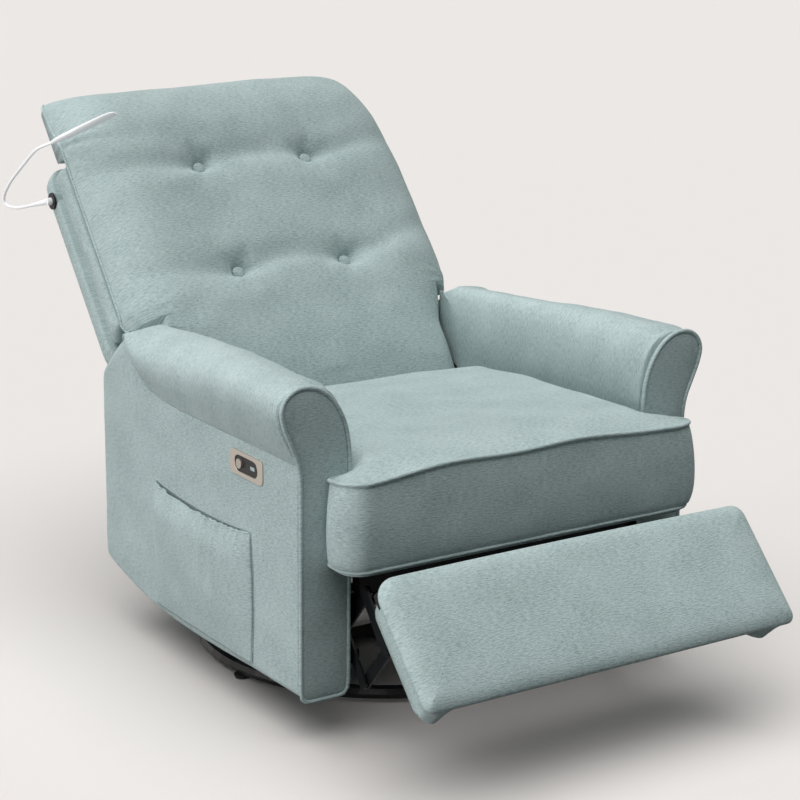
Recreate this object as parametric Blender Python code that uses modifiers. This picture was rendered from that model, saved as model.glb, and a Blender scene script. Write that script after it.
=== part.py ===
"""Swivel power recliner with rolled arms, a tufted back and a lift-out footrest.

Metres, +Z up. The chair faces -Y and stands on z = 0, with its swivel axis at x = y = 0.
It is drawn half reclined, with the footrest half out. An angle that a piece makes is its
elevation above the forward direction, so a link at 0 degrees points straight ahead.
"""

import math

import bmesh
import bpy
from mathutils import Matrix, Vector

# Clearances
GAP = 0.0003
PIN_GAP = 0.0003
SLOT_GAP = 0.0005

# Base
RING_R = 0.3265
RING_TUBE_R = 0.0125
FOOT_R = 0.015
FOOT_H = 0.006
FOOT_COUNT = 6
FOOT_FIRST_DEG = 9.0
CROSS_BAR_W = 0.040
CROSS_BAR_H = 0.018
HUB_R = 0.100
HUB_T = 0.005
KING_PIN_R = 0.012
KING_PIN_RISE = 0.004
RACE_R = 0.074
RACE_W = 0.016
RACE_H = 0.010

# Swivel platform and glide
PLATE_T = 0.005
CRADLE_X = 0.190
CRADLE_RAIL_W = 0.030
CRADLE_RAIL_H = 0.022
CRADLE_REACH_Y = 0.200
CRADLE_CROSS_Y = 0.080
CRADLE_CROSS_W = 0.040
POST_Y = 0.170
POST_T = 0.005
POST_BASE_W = 0.050
POST_TOP_R = 0.014
LINK_TOP_Z = 0.190
LINK_L = 0.100
LINK_T = 0.004
LINK_R = 0.012
LINK_PIN_R = 0.005
HEAD_T = 0.0015
HEAD_R = 0.008

# Mechanism plates
ARM_INNER_X = 0.302
SIDE_PLATE_T = 0.004
SIDE_PLATE_FRONT_Y = -0.345
SIDE_PLATE_REAR_Y = 0.285
SIDE_PLATE_Z0 = 0.118
SIDE_PLATE_DROP_Z0 = 0.092
SIDE_PLATE_DROP_Y = -0.232
SIDE_PLATE_Z1 = 0.2985
GLIDE_RAIL_T = 0.004
GLIDE_RAIL_H = 0.040
GLIDE_RAIL_FLANGE_W = 0.030
GLIDE_RAIL_OFFSET = 0.0025
GLIDE_RAIL_TOP_Z = 0.120
GLIDE_RAIL_FRONT_Y = -0.200
CROSS_TUBE_R = 0.0125
CROSS_FRONT_Y = -0.085
CROSS_REAR_Y = 0.262

# Back hinge
HINGE_Y = 0.2135
HINGE_Z = 0.410
HINGE_PIN_R = 0.006
HINGE_EAR_R = 0.021
BACK_REST_DEG = 40.0

# Footrest linkage: lazy tongs of half-length LINK_HALF, opened ALPHA about the line PHI
LIFT_Y = -0.276
LIFT_Z = 0.262
LINK_HALF = 0.100
GUIDE_REACH = 0.060
PHI_DEG = -1.3
PHI_RATE = 0.35
ALPHA_DEG = 51.9
ALPHA_RATE = -1.04
BACK_MIN_DEG = -24.0
BACK_MAX_DEG = 20.0
BAR_T = 0.004
BAR_R = 0.010
BAR_PIN_R = 0.004
BAR_OUTER_X = 0.293
BAR_LAYER_GAP = 0.002
RIVET_HEAD_R = 0.0065
RIVET_HEAD_T = 0.001
TORQUE_TUBE_R = 0.011
JOURNAL_R = 0.006

# Actuator
CRANK_R = 0.085
CRANK_DEG = 2.8
CRANK_PIN_R = 0.005
CRANK_EAR_X = 0.014
CRANK_EAR_T = 0.004
CRANK_EAR_R = 0.010
YOKE_GAP = 0.0009
YOKE_T = 0.018
YOKE_REACH_Y = 0.014
RAIL_W = 0.030
RAIL_H = 0.015
RAIL_FRONT_Y = -0.343
MOTOR_FRONT_Y = -0.020
MOTOR_REAR_Y = 0.095
MOTOR_W = 0.070
MOTOR_H = 0.060
MOTOR_CAN_R = 0.029
MOTOR_CAN_L = 0.105
CARRIAGE_L = 0.036
CARRIAGE_T = 0.004
TAIL_EYE_Z = 0.172

# Footrest
BOARD_DEG = 43.4
BOARD_W = 0.690
FOOTREST_W = 0.732
PAD_WRAP = 0.003
FOOTREST_H = 0.227
PAD_T = 0.046
BOARD_T = 0.012
CARRY_ALONG = 0.050
CARRY_BEHIND = 0.075

# Seat
DECK_Z0 = 0.285
DECK_Z1 = 0.3055
DECK_FRONT_Y = -0.360
DECK_REAR_Y = 0.170
FRONT_RAIL_HALF_W = 0.276
FRONT_RAIL_Z0 = 0.240
FRONT_RAIL_T = 0.022
SEAT_SIDE_GAP = 0.002
SEAT_HALF_W = ARM_INNER_X - SEAT_SIDE_GAP
SEAT_WING_REACH = 0.046
SEAT_WING_HALF_W = ARM_INNER_X + SEAT_WING_REACH
SEAT_FRONT_Y = -0.443
SEAT_REAR_Y = 0.160
SEAT_BOTTOM_Z = 0.3065
SEAT_WELT_Z = 0.456
SEAT_REAR_DROP = 0.060
SEAT_CROWN = 0.030

# Arms
ARM_W = 0.086
ARM_OUTER_X = ARM_INNER_X + ARM_W
ARM_FRONT_Y = -0.367
ARM_REAR_Y = 0.346
ARM_BOTTOM_Z = 0.078
ARM_REAR_BOTTOM_Z = 0.124
ARM_CUT_Y = -0.010
FRONT_PANEL_T = 0.012
ROLL_SEAM_Z = 0.470
ROLL_R = 0.070
ROLL_Z = 0.534
ROLL_OVERHANG = 0.007
ROLL_INNER_X = ARM_INNER_X - ROLL_OVERHANG
PANEL_ROLL_R = 0.065
PANEL_ROLL_IN = 0.060
PANEL_ROLL_X = ARM_INNER_X + PANEL_ROLL_IN
PANEL_ROLL_Z = 0.532
ROLL_TAPER_Y = 0.080
ROLL_DROP_Y = 0.140
ARM_REAR_TOP_Z = 0.474

# Back, in its own upright frame: origin on the hinge, -Y the front, +Z up the back
BACK_NECK_GAP = 0.0098
BACK_NECK_HALF_W = ARM_INNER_X - BACK_NECK_GAP
BACK_WING_REACH = 0.066
BACK_WING_HALF_W = ARM_INNER_X + BACK_WING_REACH
BACK_FOOT_Z = -0.050
BACK_WING_Z = 0.187
BACK_WING_SLOPE = 0.050
BACK_TOP_Z = 0.562
FRAME_FRONT = 0.0017
FRAME_T = 0.0135
SHELL_T = 0.075
PILLOW_NECK_INSET = 0.0042
PILLOW_NECK_HALF_W = BACK_NECK_HALF_W - PILLOW_NECK_INSET
PILLOW_INSET = 0.017
PILLOW_HALF_W = BACK_WING_HALF_W - PILLOW_INSET
PILLOW_FOOT_R = 0.048
PILLOW_BACK = 0.0025
PILLOW_TOP_Z = 0.682
PILLOW_EDGE = 0.012
PILLOW_CROWN = 0.088
TUFT_X = 0.117
TUFT_Z = (0.241, 0.472)
TUFT_DEPTH = 0.026
TUFT_FLAT_R = 0.013
TUFT_BUTTON_R = 0.010
TUFT_BUTTON_T = 0.006
TUFT_BUTTON_GAP = 0.0005
BRACKET_T = 0.004
BRACKET_EAR_R = 0.018
BRACKET_LOW = 0.030
BRACKET_HIGH = 0.140
BRACKET_REAR_INSET = 0.015
BRACKET_FRONT = 0.004

# Side pocket and control plate on the outer face of the arm at -X
POCKET_Y = (-0.205, 0.135)
POCKET_Z = (0.093, 0.322)
POCKET_BULGE = 0.024
POCKET_T = 0.0025
PLATE_Y = (-0.248, -0.140)
PLATE_Z = (0.411, 0.453)
PLATE_THICK = 0.004
INSERT_Y = (-0.232, -0.156)
INSERT_Z = (0.418, 0.446)
INSERT_T = 0.002
BUTTON_Y = -0.173
BUTTON_R = 0.0085
BUTTON_PROUD = 0.0025
USB_Y = -0.212
USB_SIZE = (0.014, 0.006)

# Reading light on the -X side of the back
LAMP_Z = 0.4995
LAMP_Y = 0.0632
LAMP_SOCKET_R = 0.0158
LAMP_SOCKET_T = 0.004
LAMP_PLUG_R = 0.004
LAMP_CONE_R = 0.0060
LAMP_NECK_R = 0.0030
LAMP_HEAD_L = 0.155
LAMP_HEAD_W = 0.026
LAMP_HEAD_T = 0.011
LAMP_ROUTE = (
    (-0.024, 0.038, 0.017),
    (-0.044, 0.068, 0.031),
    (-0.054, 0.086, 0.051),
    (-0.056, 0.078, 0.065),
    (-0.053, 0.043, 0.072),
    (-0.046, 0.007, 0.075),
    (-0.040, -0.020, 0.0765),
    (-0.0314, -0.0652, 0.0759),
    (-0.014, -0.096, 0.0695),
)
LAMP_TIP = (0.063, -0.233, 0.041)

PARTS = bpy.data.collections.new("swivel_power_recliner")


def direction(elevation_deg):
    """Unit (y, z) vector at an elevation above straight ahead."""
    angle = math.radians(elevation_deg)
    return Vector((-math.cos(angle), math.sin(angle)))


def linkage(back_deg):
    """(y, z) of the footrest linkage's pivots with the back turned back_deg from rest."""
    phi = PHI_DEG + PHI_RATE * back_deg
    alpha = ALPHA_DEG + ALPHA_RATE * back_deg
    lift = Vector((LIFT_Y, LIFT_Z))
    cross = lift + LINK_HALF * direction(phi - alpha)
    low = lift + 2 * LINK_HALF * direction(phi - alpha)
    return {
        "cross": cross,
        "low": low,
        "high": cross + LINK_HALF * direction(phi + alpha),
        "guide": cross - GUIDE_REACH * direction(phi + alpha),
        "short": low + LINK_HALF * direction(phi + alpha),
        "carry": low + 2 * LINK_HALF * direction(phi + alpha),
        "down_deg": phi - alpha,
        "up_deg": phi + alpha,
    }


def clear_scene():
    for obj in list(bpy.data.objects):
        bpy.data.objects.remove(obj, do_unlink=True)
    bpy.context.scene.collection.children.link(PARTS)


def material(name, colour, roughness, metallic=0.0):
    mat = bpy.data.materials.new(name)
    mat.use_nodes = True
    shader = mat.node_tree.nodes["Principled BSDF"]
    shader.inputs["Base Color"].default_value = (*colour, 1.0)
    shader.inputs["Roughness"].default_value = roughness
    shader.inputs["Metallic"].default_value = metallic
    mat.diffuse_color = (*colour, 1.0)
    return mat


def make_object(name, mesh):
    obj = bpy.data.objects.new(name, mesh)
    PARTS.objects.link(obj)
    return obj


def from_bmesh(name, bm):
    mesh = bpy.data.meshes.new(name)
    bm.to_mesh(mesh)
    bm.free()
    return make_object(name, mesh)


def bake(obj):
    """Replaces an object's modifiers by the mesh that they give."""
    bpy.context.view_layer.update()
    graph = bpy.context.evaluated_depsgraph_get()
    mesh = bpy.data.meshes.new_from_object(obj.evaluated_get(graph))
    obj.modifiers.clear()
    obj.data = mesh
    return obj


def block(name, low, high):
    bm = bmesh.new()
    bmesh.ops.create_cube(bm, size=1.0)
    low, high = Vector(low), Vector(high)
    bmesh.ops.scale(bm, vec=high - low, verts=bm.verts)
    bmesh.ops.translate(bm, vec=(high + low) / 2, verts=bm.verts)
    return from_bmesh(name, bm)


def rod(name, start, end, radius, end_radius=None, sides=24):
    """A round bar or cone from start to end."""
    bm = bmesh.new()
    start, end = Vector(start), Vector(end)
    turn = (end - start).to_track_quat("Z", "Y").to_matrix().to_4x4()
    bmesh.ops.create_cone(
        bm,
        cap_ends=True,
        segments=sides,
        radius1=radius,
        radius2=radius if end_radius is None else end_radius,
        depth=(end - start).length,
        matrix=Matrix.Translation((start + end) / 2) @ turn,
    )
    return from_bmesh(name, bm)


def arc(centre, radius, start_deg, end_deg, steps):
    """Points on a circle from start_deg to end_deg, both included."""
    points = []
    for i in range(steps + 1):
        angle = math.radians(start_deg + (end_deg - start_deg) * i / steps)
        points.append(
            (centre[0] + radius * math.cos(angle), centre[1] + radius * math.sin(angle))
        )
    return points


def rounded(corners, steps=4):
    """An outline whose corners, each (a, b, radius), are rounded."""
    points = []
    count = len(corners)
    for i, (a, b, radius) in enumerate(corners):
        here = Vector((a, b))
        before = (Vector(corners[i - 1][:2]) - here).normalized()
        after = (Vector(corners[(i + 1) % count][:2]) - here).normalized()
        if radius == 0.0:
            points.append((a, b))
            continue
        half = before.angle(after) / 2
        centre = here + (before + after).normalized() * radius / math.sin(half)
        reach = radius / math.tan(half)
        first = here + before * reach - centre
        sweep = first.angle_signed(here + after * reach - centre)
        for k in range(steps + 1):
            points.append(tuple(centre + Matrix.Rotation(-sweep * k / steps, 2) @ first))
    return points


def capsule(start, end, radius, steps=8):
    """The outline of a flat bar with round ends centred on start and end."""
    start, end = Vector(start), Vector(end)
    turn = math.degrees(math.atan2(end.y - start.y, end.x - start.x))
    return arc(end, radius, turn - 90, turn + 90, steps) + arc(
        start, radius, turn + 90, turn + 270, steps
    )


def along(path, radius, steps=6):
    """The outline of a slot of half-width radius whose middle follows path."""
    path = [Vector(point) for point in path]
    left, right = [], []
    for i, point in enumerate(path):
        way = (path[min(i + 1, len(path) - 1)] - path[max(i - 1, 0)]).normalized()
        side = Vector((-way.y, way.x)) * radius
        left.append(tuple(point + side))
        right.append(tuple(point - side))
    first_way = path[1] - path[0]
    last_way = path[-1] - path[-2]
    first_deg = math.degrees(math.atan2(first_way.y, first_way.x))
    last_deg = math.degrees(math.atan2(last_way.y, last_way.x))
    tip = arc(path[-1], radius, last_deg - 90, last_deg + 90, steps)
    tail = arc(path[0], radius, first_deg + 90, first_deg + 270, steps)
    return right[1:-1] + tip + left[-2:0:-1] + tail


def circle(centre, radius, steps=20):
    return arc(centre, radius, 0, 360 * (steps - 1) / steps, steps - 1)


def flat(name, outlines, thickness):
    """A plate in the XY plane about z = 0; outlines after the first are holes."""
    curve = bpy.data.curves.new(name, "CURVE")
    curve.dimensions = "2D"
    curve.fill_mode = "BOTH"
    curve.extrude = thickness / 2
    for outline in outlines:
        spline = curve.splines.new("POLY")
        spline.points.add(len(outline) - 1)
        for point, (a, b) in zip(spline.points, outline):
            point.co = (a, b, 0.0, 1.0)
        spline.use_cyclic_u = True
    return mesh_of_curve(name, curve)


def mesh_of_curve(name, curve):
    """The closed mesh of a curve, with its loose caps welded to its sides."""
    source = make_object(name + "_curve", curve)
    bpy.context.view_layer.update()
    graph = bpy.context.evaluated_depsgraph_get()
    mesh = bpy.data.meshes.new_from_object(source.evaluated_get(graph))
    bpy.data.objects.remove(source, do_unlink=True)
    bm = bmesh.new()
    bm.from_mesh(mesh)
    bmesh.ops.remove_doubles(bm, verts=bm.verts, dist=1e-5)
    bmesh.ops.recalc_face_normals(bm, faces=bm.faces)
    bm.to_mesh(mesh)
    bm.free()
    mesh.name = name
    return make_object(name, mesh)


def remap(obj, matrix):
    obj.data.transform(matrix)
    if matrix.determinant() < 0:
        obj.data.flip_normals()
    return obj


def plate_yz(name, outlines, x_low, x_high):
    """A plate whose outline is given as (y, z), between two x."""
    obj = flat(name, outlines, x_high - x_low)
    turn = Matrix(
        ((0, 0, 1, (x_low + x_high) / 2), (1, 0, 0, 0), (0, 1, 0, 0), (0, 0, 0, 1))
    )
    return remap(obj, turn)


def plate_xz(name, outlines, y_low, y_high):
    """A plate whose outline is given as (x, z), between two y."""
    obj = flat(name, outlines, y_high - y_low)
    turn = Matrix(
        ((1, 0, 0, 0), (0, 0, -1, (y_low + y_high) / 2), (0, 1, 0, 0), (0, 0, 0, 1))
    )
    return remap(obj, turn)


def plate_xy(name, outlines, z_low, z_high):
    obj = flat(name, outlines, z_high - z_low)
    return remap(obj, Matrix.Translation((0, 0, (z_low + z_high) / 2)))


def tube(name, points, radius, cyclic=False, resolution=3):
    curve = bpy.data.curves.new(name, "CURVE")
    curve.dimensions = "3D"
    curve.bevel_depth = radius
    curve.bevel_resolution = resolution
    curve.use_fill_caps = not cyclic
    spline = curve.splines.new("POLY")
    spline.points.add(len(points) - 1)
    for point, co in zip(spline.points, points):
        point.co = (*co, 1.0)
    spline.use_cyclic_u = cyclic
    return mesh_of_curve(name, curve)


def joined(main, *others, operation="UNION"):
    """main with the others united to it, or cut from it."""
    for other in others:
        boolean = main.modifiers.new("join", "BOOLEAN")
        boolean.operation = operation
        boolean.solver = "EXACT"
        boolean.object = other
        bake(main)
        bpy.data.objects.remove(other, do_unlink=True)
    return main


def bevelled(obj, width, segments=2, angle_deg=40.0):
    bevel = obj.modifiers.new("edges", "BEVEL")
    bevel.width = width
    bevel.segments = segments
    bevel.limit_method = "ANGLE"
    bevel.angle_limit = math.radians(angle_deg)
    return obj


def loft(name, rings):
    """A closed skin through rings of equally many points."""
    bm = bmesh.new()
    rows = [[bm.verts.new(point) for point in ring] for ring in rings]
    count = len(rows[0])
    for lower, upper in zip(rows, rows[1:]):
        for i in range(count):
            k = (i + 1) % count
            bm.faces.new((lower[i], lower[k], upper[k], upper[i]))
    bm.faces.new(reversed(rows[0]))
    bm.faces.new(rows[-1])
    bmesh.ops.recalc_face_normals(bm, faces=bm.faces)
    return from_bmesh(name, bm)


def done(obj, mat, parent=None, smooth_deg=35.0):
    """Gives an object its material, shading and parent."""
    obj.data.materials.clear()
    obj.data.materials.append(mat)
    obj.data.shade_smooth()
    obj.data.set_sharp_from_angle(angle=math.radians(smooth_deg))
    if parent is not None:
        obj.parent = parent
    return obj


def axis_empty(name, place, turn_deg=0.0, parent=None):
    """An empty on a joint's axis, tipped back by turn_deg."""
    empty = bpy.data.objects.new(name, None)
    empty.empty_display_size = 0.05
    empty.location = place
    empty.rotation_euler = (-math.radians(turn_deg), 0.0, 0.0)
    PARTS.objects.link(empty)
    if parent is not None:
        empty.parent = parent
    return empty


def mirrored(obj, name):
    """A copy of an object on the other side of x = 0."""
    other = make_object(name, obj.data.copy())
    return remap(other, Matrix.Scale(-1, 4, (1, 0, 0)))


def pair(obj, base_name):
    """Names a piece made at +X as the left one and adds the right one."""
    obj.name = base_name + "_left"
    return obj, mirrored(obj, base_name + "_right")


def add_base():
    ring_z = FOOT_H + GAP + RING_TUBE_R
    turns = 64
    circle_points = [
        (
            RING_R * math.cos(2 * math.pi * i / turns),
            RING_R * math.sin(2 * math.pi * i / turns),
            ring_z,
        )
        for i in range(turns)
    ]
    ring = tube("base_ring", circle_points, RING_TUBE_R, cyclic=True, resolution=2)
    half = CROSS_BAR_W / 2
    low, high = ring_z - CROSS_BAR_H / 2, ring_z + CROSS_BAR_H / 2
    bar_x = block("bar_x", (-RING_R, -half, low), (RING_R, half, high))
    bar_y = block("bar_y", (-half, -RING_R, low), (half, RING_R, high))
    done(joined(ring, joined(bar_x, bar_y)), STEEL)

    for i in range(FOOT_COUNT):
        angle = math.radians(FOOT_FIRST_DEG + 360 * i / FOOT_COUNT)
        x, y = RING_R * math.cos(angle), RING_R * math.sin(angle)
        foot = rod(
            f"base_foot_{i + 1}", (x, y, 0), (x, y, FOOT_H), FOOT_R * 0.85, FOOT_R
        )
        done(foot, BLACK_PLASTIC)

    hub_z0 = high + GAP
    hub_z1 = hub_z0 + HUB_T
    race_z1 = hub_z1 + GAP + RACE_H
    plate_z0 = race_z1 + GAP
    plate_z1 = plate_z0 + PLATE_T
    hub = rod("base_hub", (0, 0, hub_z0), (0, 0, hub_z1), HUB_R, sides=40)
    pin = rod(
        "pin", (0, 0, hub_z0), (0, 0, plate_z1 + KING_PIN_RISE), KING_PIN_R, sides=24
    )
    done(joined(hub, pin), STEEL)

    race = plate_xy(
        "bearing_race",
        [
            circle((0, 0), RACE_R + RACE_W / 2, 40),
            circle((0, 0), RACE_R - RACE_W / 2, 40),
        ],
        hub_z1 + GAP,
        race_z1,
    )
    done(race, BRIGHT_STEEL)
    return plate_z0, plate_z1


def add_platform(plate_z0, plate_z1):
    swivel = axis_empty("swivel_axis", (0, 0, 0))
    plate = plate_xy(
        "swivel_plate",
        [
            rounded([(HUB_R, HUB_R, 0.02), (-HUB_R, HUB_R, 0.02),
                     (-HUB_R, -HUB_R, 0.02), (HUB_R, -HUB_R, 0.02)]),
            circle((0, 0), KING_PIN_R + PIN_GAP, 24),
        ],
        plate_z0,
        plate_z1,
    )
    done(plate, STEEL, swivel)

    z0 = plate_z1 + GAP
    z1 = z0 + CRADLE_RAIL_H
    half_w = CRADLE_RAIL_W / 2
    pieces = []
    for side in (-1, 1):
        x = side * CRADLE_X
        pieces.append(
            block("rail", (x - half_w, -CRADLE_REACH_Y, z0), (x + half_w, CRADLE_REACH_Y, z1))
        )
        y = side * CRADLE_CROSS_Y
        pieces.append(
            block(
                "cross",
                (-CRADLE_X, y - CRADLE_CROSS_W / 2, z0),
                (CRADLE_X, y + CRADLE_CROSS_W / 2, z1 - 0.002),
            )
        )
    post_x0 = CRADLE_X + 0.0025
    for side in (-1, 1):
        for y in (-POST_Y, POST_Y):
            half = POST_BASE_W / 2
            outline = [(y - half, z1 - 0.004), (y + half, z1 - 0.004)] + arc(
                (y, LINK_TOP_Z), POST_TOP_R, 10, 170, 8
            )
            post = plate_yz("post", [outline], post_x0, post_x0 + POST_T)
            link_x0 = post_x0 + POST_T + 0.001
            link_x1 = link_x0 + LINK_T
            pin = rod(
                "pin",
                (post_x0 + POST_T / 2, y, LINK_TOP_Z),
                (link_x1 + 0.0005 + HEAD_T, y, LINK_TOP_Z),
                LINK_PIN_R,
                sides=16,
            )
            head = rod(
                "head",
                (link_x1 + 0.0005, y, LINK_TOP_Z),
                (link_x1 + 0.0005 + HEAD_T, y, LINK_TOP_Z),
                HEAD_R,
                sides=16,
            )
            post = joined(post, pin, head)
            if side < 0:
                remap(post, Matrix.Scale(-1, 4, (1, 0, 0)))
            pieces.append(post)
    cradle = joined(*pieces)
    cradle.name = "glide_cradle"
    done(cradle, STEEL, swivel)
    return swivel, link_x0, link_x1


def add_glide_links(swivel, link_x0, link_x1):
    low_z = LINK_TOP_Z - LINK_L
    for place, y in (("front", -POST_Y), ("rear", POST_Y)):
        pivot = axis_empty(f"glide_{place}_axis", (0, y, LINK_TOP_Z), parent=swivel)
        hole_r = LINK_PIN_R + PIN_GAP
        bar = plate_yz(
            "link",
            [
                capsule((0, 0), (0, -LINK_L), LINK_R),
                circle((0, 0), hole_r, 16),
                circle((0, -LINK_L), hole_r, 16),
            ],
            link_x0,
            link_x1,
        )
        for piece in pair(bar, f"glide_link_{place}"):
            done(piece, BRIGHT_STEEL, pivot)
    return low_z


def add_chassis_steel(link_x1, low_z):
    chassis = axis_empty("chassis_axis", (0, 0, 0))
    plate_x1 = ARM_INNER_X - GAP
    plate_x0 = plate_x1 - SIDE_PLATE_T
    ear_half = HINGE_EAR_R
    outline = rounded(
        [
            (SIDE_PLATE_FRONT_Y, SIDE_PLATE_DROP_Z0, 0.020),
            (SIDE_PLATE_DROP_Y, SIDE_PLATE_DROP_Z0, 0.020),
            (SIDE_PLATE_DROP_Y + 0.040, SIDE_PLATE_Z0, 0.015),
            (SIDE_PLATE_REAR_Y, SIDE_PLATE_Z0, 0.010),
            (SIDE_PLATE_REAR_Y, SIDE_PLATE_Z0 + 0.070, 0.030),
            (HINGE_Y + ear_half, SIDE_PLATE_Z1, 0.030),
            (HINGE_Y + ear_half, HINGE_Z + ear_half, ear_half * 0.98),
            (HINGE_Y - ear_half, HINGE_Z + ear_half, ear_half * 0.98),
            (HINGE_Y - ear_half, SIDE_PLATE_Z1, 0.010),
            (SIDE_PLATE_FRONT_Y, SIDE_PLATE_Z1, 0.030),
        ],
        steps=5,
    )
    steps = 8
    path = [
        linkage(BACK_MIN_DEG - 1 + (BACK_MAX_DEG - BACK_MIN_DEG + 2) * i / steps)["guide"]
        for i in range(steps + 1)
    ]
    side = plate_yz(
        "side_plate",
        [
            outline,
            circle((LIFT_Y, LIFT_Z), JOURNAL_R + PIN_GAP, 20),
            circle((HINGE_Y, HINGE_Z), HINGE_PIN_R + PIN_GAP, 20),
            along(path, BAR_PIN_R + SLOT_GAP),
            rounded([(-0.180, 0.165, 0.012), (-0.070, 0.165, 0.012),
                     (-0.070, 0.240, 0.012), (-0.180, 0.240, 0.012)]),
            rounded([(0.030, 0.175, 0.012), (0.150, 0.175, 0.012),
                     (0.150, 0.250, 0.012), (0.030, 0.250, 0.012)]),
        ],
        plate_x0,
        plate_x1,
    )
    for piece in pair(side, "side_plate"):
        done(piece, STEEL, chassis)

    rail_x0 = link_x1 + GLIDE_RAIL_OFFSET
    rail_x1 = rail_x0 + GLIDE_RAIL_T
    rail_z0 = GLIDE_RAIL_TOP_Z - GLIDE_RAIL_H
    rail = block(
        "glide_rail",
        (rail_x0, GLIDE_RAIL_FRONT_Y, rail_z0),
        (rail_x1, SIDE_PLATE_REAR_Y, GLIDE_RAIL_TOP_Z),
    )
    flange = block(
        "flange",
        (rail_x0, GLIDE_RAIL_FRONT_Y, GLIDE_RAIL_TOP_Z - GLIDE_RAIL_T),
        (rail_x0 + GLIDE_RAIL_FLANGE_W, SIDE_PLATE_REAR_Y, GLIDE_RAIL_TOP_Z),
    )
    pins = [
        rod(
            "pin",
            (link_x1 - LINK_T - 0.0004, y, low_z),
            (rail_x0 + GLIDE_RAIL_T / 2, y, low_z),
            LINK_PIN_R,
            sides=16,
        )
        for y in (-POST_Y, POST_Y)
    ]
    rail = joined(rail, flange, *pins)
    for piece in pair(rail, "glide_rail"):
        done(piece, STEEL, chassis)

    tube_z = GLIDE_RAIL_TOP_Z + GAP + CROSS_TUBE_R
    reach = plate_x0 - GAP
    front = rod(
        "cross_tube_front", (-reach, CROSS_FRONT_Y, tube_z), (reach, CROSS_FRONT_Y, tube_z),
        CROSS_TUBE_R,
    )
    done(front, STEEL, chassis)
    rear = rod(
        "cross_tube_rear", (-reach, CROSS_REAR_Y, tube_z), (reach, CROSS_REAR_Y, tube_z),
        CROSS_TUBE_R,
    )
    bracket = plate_yz(
        "bracket",
        [
            rounded([(CROSS_REAR_Y - 0.012, tube_z, 0.0), (CROSS_REAR_Y + 0.012, tube_z, 0.0),
                     (CROSS_REAR_Y + 0.012, TAIL_EYE_Z + 0.012, 0.0115),
                     (CROSS_REAR_Y - 0.012, TAIL_EYE_Z + 0.012, 0.0115)]),
            circle((CROSS_REAR_Y, TAIL_EYE_Z), BAR_PIN_R + PIN_GAP, 16),
        ],
        -0.010,
        0.010,
    )
    done(joined(rear, bracket), STEEL, chassis)
    return chassis, plate_x0, tube_z + CROSS_TUBE_R


def add_seat(chassis, plate_x0):
    half = plate_x0 - GAP
    deck = block(
        "seat_deck", (-half, DECK_FRONT_Y, DECK_Z0), (half, DECK_REAR_Y, DECK_Z1)
    )
    rail = block(
        "rail",
        (-FRONT_RAIL_HALF_W, DECK_FRONT_Y, FRONT_RAIL_Z0),
        (FRONT_RAIL_HALF_W, DECK_FRONT_Y + FRONT_RAIL_T, DECK_Z1 - 0.001),
    )
    done(joined(deck, rail), WOOD, chassis)

    wing_y = ARM_FRONT_Y - 0.0025
    stations = (
        [(SEAT_REAR_Y, 0.93, 0.55), (SEAT_REAR_Y - 0.012, 0.985, 0.85)]
        + [(SEAT_REAR_Y - 0.012 + (wing_y + 0.0006 - SEAT_REAR_Y + 0.012) * i / 9, 1.0, 1.0)
           for i in range(1, 10)]
    )
    rings = [seat_ring(y, SEAT_HALF_W * side, full) for y, side, full in stations]
    wings = ((wing_y, 1.0, 1.0), (wing_y - 0.030, 1.0, 1.0), (SEAT_FRONT_Y + 0.022, 1.0, 1.0),
             (SEAT_FRONT_Y + 0.006, 0.992, 0.93), (SEAT_FRONT_Y, 0.975, 0.80))
    rings += [seat_ring(y, SEAT_WING_HALF_W * side, full) for y, side, full in wings]
    done(loft("seat_cushion", rings), FABRIC, chassis, 50.0)


def seat_ring(y, half_w, fullness):
    """One cross-section of the seat cushion, crowned on top and drawn in at the sides."""
    ahead = (SEAT_REAR_Y - y) / (SEAT_REAR_Y - SEAT_FRONT_Y)
    welt_z = SEAT_WELT_Z - SEAT_REAR_DROP * (1 - ahead)
    middle_z = (SEAT_BOTTOM_Z + welt_z) / 2
    count = 16
    ring = []
    for i in range(count + 1):
        u = -1 + 2 * i / count
        crown = SEAT_CROWN * (1 - abs(u) ** 3.5) * min(1.0, fullness)
        ring.append((half_w * u, y, welt_z + crown - 0.012 * abs(u) ** 12))
    ring.append((half_w + 0.0015, y, middle_z + 0.02))
    ring.append((half_w - 0.003, y, SEAT_BOTTOM_Z + 0.004))
    ring.append((half_w - 0.012, y, SEAT_BOTTOM_Z))
    ring.append((-half_w + 0.012, y, SEAT_BOTTOM_Z))
    ring.append((-half_w + 0.003, y, SEAT_BOTTOM_Z + 0.004))
    ring.append((-half_w - 0.0015, y, middle_z + 0.02))
    return [
        (x, yy, middle_z + (z - middle_z) * (0.35 + 0.65 * fullness)) for x, yy, z in ring
    ]


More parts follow.
